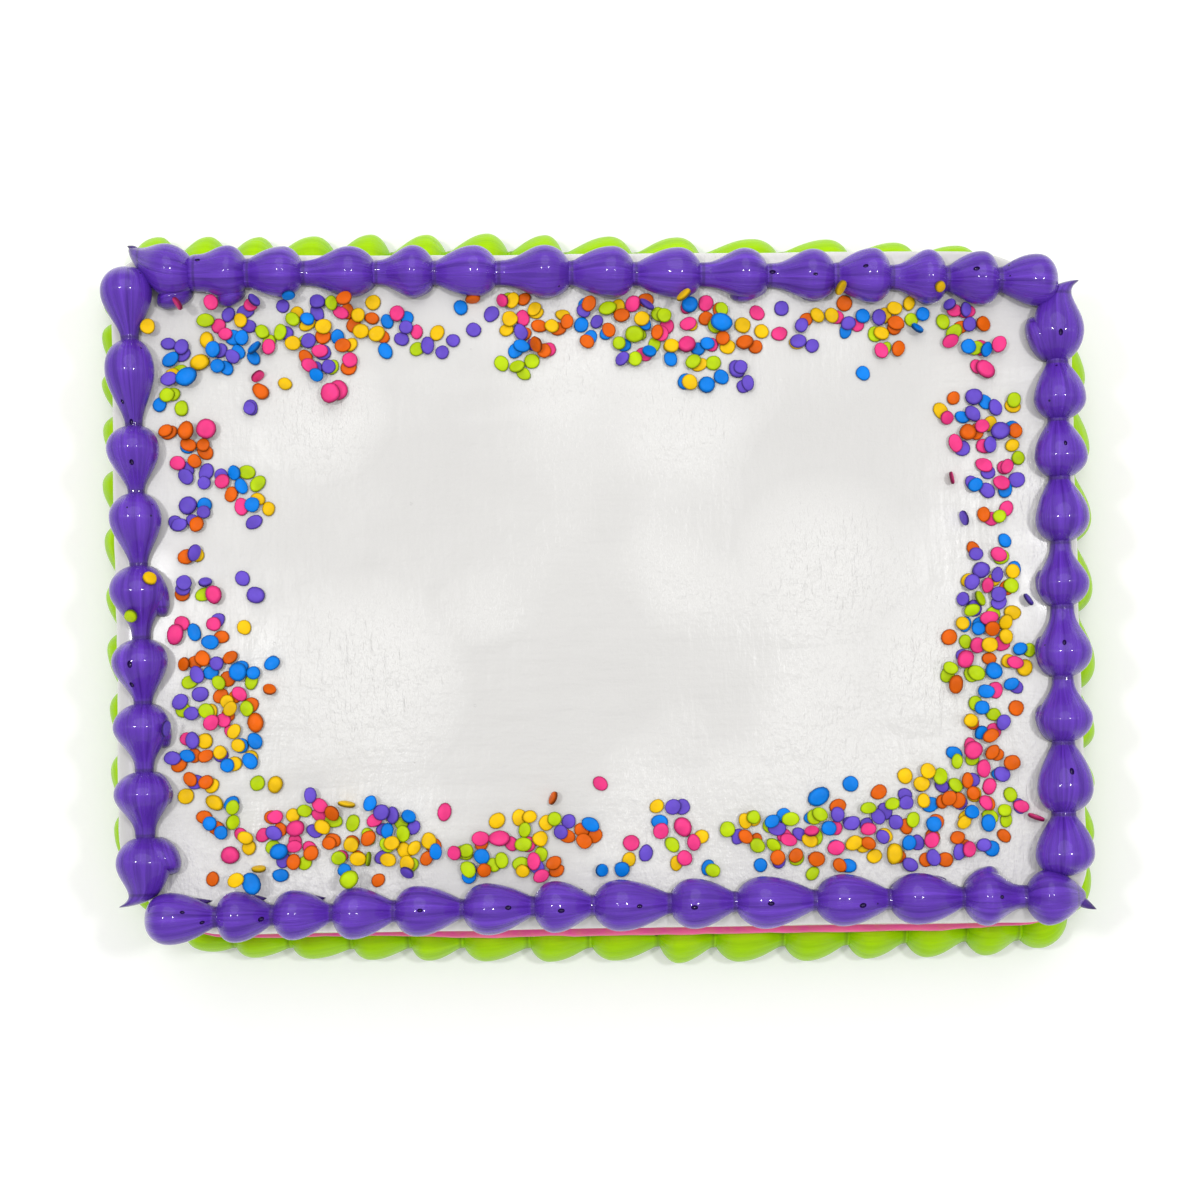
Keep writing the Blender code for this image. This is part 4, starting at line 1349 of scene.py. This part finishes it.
@dataclass
class Sprinkles:
    """Confetti sprinkles that are dropped one by one and come to rest on each other.

    Attributes:
        radius, thickness: Size of a disc in millimetres.
        radii, thicknesses: Least and largest size over that.
        swollen: Chance that a disc is swollen, and its radius and thickness over its own.
        lump: Radius and thickness of a swollen one.
        stretches: Least and largest factor of a disc's length.
        tries: Places that are tried for each disc of a heap.
        leans: Spread in degrees of the two chance tilts at each place.
        flattest: Tilt of the third.
        steep_from: A draw above this leans the disc on others instead.
        steep_tilts: Least and largest tilt of such a disc.
        steep_gain: How much higher than another such a disc may come to rest.
        chance: Largest random height that is added before the lowest place is taken.
        upended: Least and largest tilt of the discs that stand on edge.
        share: Share of the heaps' counts that is dropped.
        spread: Reach of a heap over its half width and depth.
        layer_top: A disc whose middle would come to rest above this height isn't laid.
        sides: Faces round a disc.
        same_colour: Chance that a disc has its forerunner's colour.
        seed: Seed of the random draws.
        border_gap: How far the heaps keep from the middle of the top border.
        highest: No sprinkle rises above this height, and one on a shell sinks into it.
        discs: The sprinkles that lie.
    """

    radius: float = 2.6
    thickness: float = 1.35
    radii: tuple[float, float] = (0.9, 1.08)
    thicknesses: tuple[float, float] = (0.85, 1.15)
    swollen: tuple[float, float, float] = (0.05, 1.15, 1.8)
    lump: tuple[float, float] = (3.5, 2.5)
    stretches: tuple[float, float] = (1.0, 1.17)
    tries: int = 16
    leans: tuple[float, float] = (12, 20)
    flattest: float = 3.0
    steep_from: float = 0.985
    steep_tilts: tuple[float, float] = (40, 75)
    steep_gain: float = 1.6
    chance: float = 0.6
    upended: tuple[float, float] = (68, 80)
    share: float = 0.95
    spread: float = 1.22
    layer_top: float = 63.0
    sides: int = 14
    same_colour: float = 0.16
    seed: int = 41
    border_gap: float = 8.5
    highest: float = 74.0
    discs: list[Disc] = field(default_factory=list)

    def drop_all(self, ground: Landscape) -> None:
        """Drop the sprinkles of every heap.

        Args:
            ground: What they fall on, which each of them raises.
        """
        draw = random.Random(self.seed)
        colour = 0
        for heap in HEAPS:
            for _ in range(max(1, round(heap.count * self.share))):
                if draw.random() > self.same_colour:
                    colour = draw.randrange(len(SUGARS))
                self.drop(ground, heap, colour, draw)
        for colour, sugar in enumerate(SUGARS):
            for x, y in SINGLES.get(sugar.name, ()):
                self.put(ground, Disc(x, y, ground.normal(x, y), *self.size(draw), colour), draw)
            for x, y in LUMPS.get(sugar.name, ()):
                self.put(ground, Disc(x, y, self.tilted(5, draw), *self.lump, colour), draw)
            for x, y in ON_EDGE.get(sugar.name, ()):
                upright = self.tilted(draw.uniform(*self.upended), draw)
                self.put(ground, Disc(x, y, upright, *self.size(draw), colour), draw)

    def size(self, draw: random.Random) -> tuple[float, float]:
        """Draw a disc's radius and thickness, now and then of a lump."""
        radius = self.radius * draw.uniform(*self.radii)
        thickness = self.thickness * draw.uniform(*self.thicknesses)
        chance, wider, thicker = self.swollen
        return (wider * radius, thicker * thickness) if draw.random() < chance else (radius, thickness)

    @staticmethod
    def tilted(tilt: float, draw: random.Random) -> Vector:
        """Return an axis that leans by an angle in degrees to a random side."""
        lean, way = math.radians(tilt), draw.uniform(0, math.tau)
        return Vector((math.sin(lean) * math.cos(way), math.sin(lean) * math.sin(way), math.cos(lean)))

    def put(self, ground: Landscape, disc: Disc, draw: random.Random) -> None:
        """Lay one sprinkle on the ground.

        Args:
            ground: The landscape, raised by the sprinkle.
            disc: The sprinkle.
            draw: The random draw.
        """
        normal = disc.normal
        rise = disc.radius * math.hypot(normal.x, normal.y) + disc.thickness / 2 * normal.z
        disc.height = min(ground.rest(disc), self.highest - rise)
        ground.settle(disc)
        spun = Matrix.Rotation(draw.uniform(0, 6.28), 3, "Z")
        disc.turn = normal.to_track_quat("Z", "Y").to_matrix() @ spun
        disc.stretch = draw.uniform(*self.stretches)
        self.discs.append(disc)

    def drop(self, ground: Landscape, heap: Heap, colour: int, draw: random.Random) -> None:
        """Drop one sprinkle in a heap, at the lowest of a few places and tilts.

        Args:
            ground: The landscape, raised by the sprinkle.
            heap: The heap.
            colour: Its colour number.
            draw: The random draw.
        """
        size = self.size(draw)
        best = None
        for _ in range(self.tries):
            way, far = draw.uniform(0, math.tau), math.sqrt(draw.random()) * self.spread
            x = heap.x + math.cos(way) * far * heap.half_width
            y = heap.y + math.sin(way) * far * heap.half_depth
            if not self.clear_of_border(x, y):
                continue
            steep = draw.random() > self.steep_from
            if steep:
                tilts = [draw.uniform(*self.steep_tilts)]
            else:
                tilts = [self.flattest, *(abs(draw.gauss(0, lean)) for lean in self.leans)]
            for tilt in tilts:
                disc = Disc(x, y, self.tilted(tilt, draw), *size, colour)
                gain = self.steep_gain if steep else 0
                score = ground.rest(disc) - gain + draw.uniform(0, self.chance)
                if best is None or score < best[0]:
                    best = (score, disc)
        if best is not None and best[0] < self.layer_top:
            self.put(ground, best[1], draw)

    def clear_of_border(self, x: float, y: float) -> bool:
        """Tell whether a place lies inside the top border."""
        for border, run in zip(Side, TOP_RUNS):
            start, end = (Vector(corner) for corner in PLAN.side(border))
            along, outward = directions(start, end)
            offset = Vector((x, y)) - (start + end) / 2
            distance = offset.dot(along)
            first, last = run.joints[0], run.joints[-1]
            drift = curve_through(run.drift, (distance - first) / (last - first))
            if drift - offset.dot(outward) < self.border_gap:
                return False
        return True

    def disc_body(self, disc: Disc, number: int) -> bmesh.types.BMesh:
        """Model one disc with a rounded edge and a slightly uneven outline.

        Args:
            disc: The disc.
            number: Its number, which varies its outline.

        Returns:
            The bmesh in millimetres at its place.
        """
        body = bmesh.new()
        bmesh.ops.create_cone(body, cap_ends=True, segments=self.sides, radius1=disc.radius,
                              radius2=disc.radius, depth=disc.thickness)
        edges = [edge for edge in body.edges if abs(edge.verts[0].co.z - edge.verts[1].co.z) < 1e-4]
        bmesh.ops.bevel(body, geom=edges, offset=disc.thickness * 0.42, offset_type="OFFSET",
                        segments=2, profile=0.5, affect="EDGES", material=-1)
        for vert in body.verts:
            angle = math.atan2(vert.co.y, vert.co.x)
            lump = 1 + 0.10 * noise.noise(Vector((math.cos(angle), math.sin(angle), number * 3.7)))
            vert.co.x *= lump * disc.stretch
            vert.co.y *= lump / disc.stretch
        # Mask of the painted shade: 0 on the top face, rising to 1 on the sides and the under side.
        rim = body.loops.layers.float_color.new("rim")
        for vert in body.verts:
            height = vert.co.z / (disc.thickness / 2)
            for loop in vert.link_loops:
                loop[rim] = (min(1.0, 1.5 * (1 - height)),) * 3 + (1.0,)
        matrix = Matrix.Translation((disc.x, disc.y, disc.height)) @ disc.turn.to_4x4()
        bmesh.ops.transform(body, verts=body.verts, matrix=matrix)
        return body

    def build(self) -> None:
        """Model and dress the discs, one piece for each colour."""
        for colour, sugar in enumerate(SUGARS):
            bodies = (self.disc_body(disc, number) for number, disc in enumerate(self.discs)
                      if disc.colour == colour)
            obj = fuse("sprinkles_" + sugar.name, bodies, 75)
            finish_piece(obj, sugar.material(), "cake")


# Studio


@dataclass
class Studio:
    """A pale floor, soft light and the camera above the cake.

    Attributes:
        camera_place, aim: Camera and the point it looks at, in millimetres.
        roll: Turn of the camera about its view, in degrees.
        lens: Focal length on a 36 mm sensor.
        lamps: Place and size in metres and power in watts of each soft lamp.
        glow: Strength of the white surroundings.
    """

    camera_place: tuple[float, float, float] = (0.0, -53.8, 810.0)
    aim: tuple[float, float, float] = (0.5, -4.8, 60.0)
    roll: float = 0.9
    lens: float = 66.07
    lamps: tuple[tuple[tuple[float, float, float], float, float], ...] = (
        ((-0.55, 0.10, 1.5), 0.14, 5.0),
        ((0.55, 0.10, 1.5), 0.14, 5.0),
        ((0.0, 0.9, 1.3), 1.4, 6.0),
    )
    glow: float = 0.60

    def set_camera(self) -> None:
        """Place the camera as the photograph was taken."""
        shift = PLAN.shift()
        place = Vector(self.camera_place) * MM + shift
        aim = Vector(self.aim) * MM + shift
        forward = (aim - place).normalized()
        right = forward.cross(Vector((0, 1, 0))).normalized()
        up = right.cross(forward)
        turn = math.radians(self.roll)
        rolled_right = right * math.cos(turn) - up * math.sin(turn)
        rolled_up = right * math.sin(turn) + up * math.cos(turn)
        data = bpy.data.cameras.new("camera")
        data.lens = self.lens
        data.sensor_width = 36.0
        data.clip_start = 0.01
        camera = bpy.data.objects.new("camera", data)
        camera.matrix_world = Matrix.Translation(place) @ Matrix(
            (rolled_right, rolled_up, -forward)).transposed().to_4x4()
        bpy.context.scene.collection.objects.link(camera)
        bpy.context.scene.camera = camera

    def set_lamps(self) -> None:
        """Hang the soft lamps and light the surroundings."""
        for number, (place, size, power) in enumerate(self.lamps):
            data = bpy.data.lights.new(f"lamp_{number}", "AREA")
            data.shape = "DISK"
            data.size = size
            data.energy = power
            lamp = bpy.data.objects.new(f"lamp_{number}", data)
            lamp.location = place
            lamp.rotation_euler = (-Vector(place)).to_track_quat("-Z", "Y").to_euler()
            bpy.context.scene.collection.objects.link(lamp)
        world = bpy.data.worlds.new("studio")
        world.use_nodes = True
        background = world.node_tree.nodes["Background"].inputs
        background["Color"].default_value = (1.0, 1.0, 1.0, 1.0)
        background["Strength"].default_value = self.glow
        bpy.context.scene.world = world
        bpy.context.scene.view_settings.view_transform = "Standard"

    def lay_floor(self) -> None:
        """Lay the pale floor."""
        floor = bmesh.new()
        bmesh.ops.create_grid(floor, x_segments=2, y_segments=2, size=3.0)
        obj = add_object("floor", floor)
        make = Palette("pale_floor")
        make.set(Base_Color=(0.93, 0.93, 0.93, 1.0), Roughness=0.9, Emission_Strength=0.12)
        make.set(Emission_Color=(1.0, 1.0, 1.0, 1.0))
        obj.data.materials.append(make.material)

    def build(self) -> None:
        """Set up the whole studio."""
        self.set_camera()
        self.set_lamps()
        self.lay_floor()


def build_border(runs: tuple[BorderRun, ...], form: ShellForm, prefix: str,
                 finish: PipedFinish, library: ShaderLibrary) -> list[bpy.types.Object]:
    """Build and dress the four runs of a border.

    Args:
        runs: The runs in the order of the sides.
        form: What their shells have in common.
        prefix: First part of the CAD nodes' names.
        finish: Their icing.
        library: The shared node groups.

    Returns:
        The borders.
    """
    material = finish.material(library)
    made = []
    for run, sizes in zip(runs, shell_sizes(runs)):
        line = PLAN.side(run.side)
        if form.base == 0:
            line = tuple(PLAN.foot(corner) for corner in line)
        border = PipedBorder(prefix + run.side.value, run, form, line, sizes)
        obj = border.build()
        border.dress(obj, material, finish.icing)
        made.append(obj)
    return made


def main() -> None:
    """Build every piece of the cake and the studio."""
    library = ShaderLibrary()
    block = IcedBlock()
    iced = block.build()
    block.dress(iced, SmoothedFinish().material(library))
    top = build_border(TOP_RUNS, TOP_FORM, "top_border_", PURPLE_FINISH, library)
    build_border(BASE_RUNS, BASE_FORM, "base_border_", GREEN_FINISH, library)
    thread = SideLine()
    line = thread.build()
    thread.dress(line, PINK_FINISH.material(library))
    ground = Landscape()
    ground.lay_down([iced, *top])
    sprinkles = Sprinkles()
    sprinkles.drop_all(ground)
    sprinkles.build()
    LOG.info("%d sprinkles in all", len(sprinkles.discs))
    Studio().build()


if __name__ == "__main__":
    main()
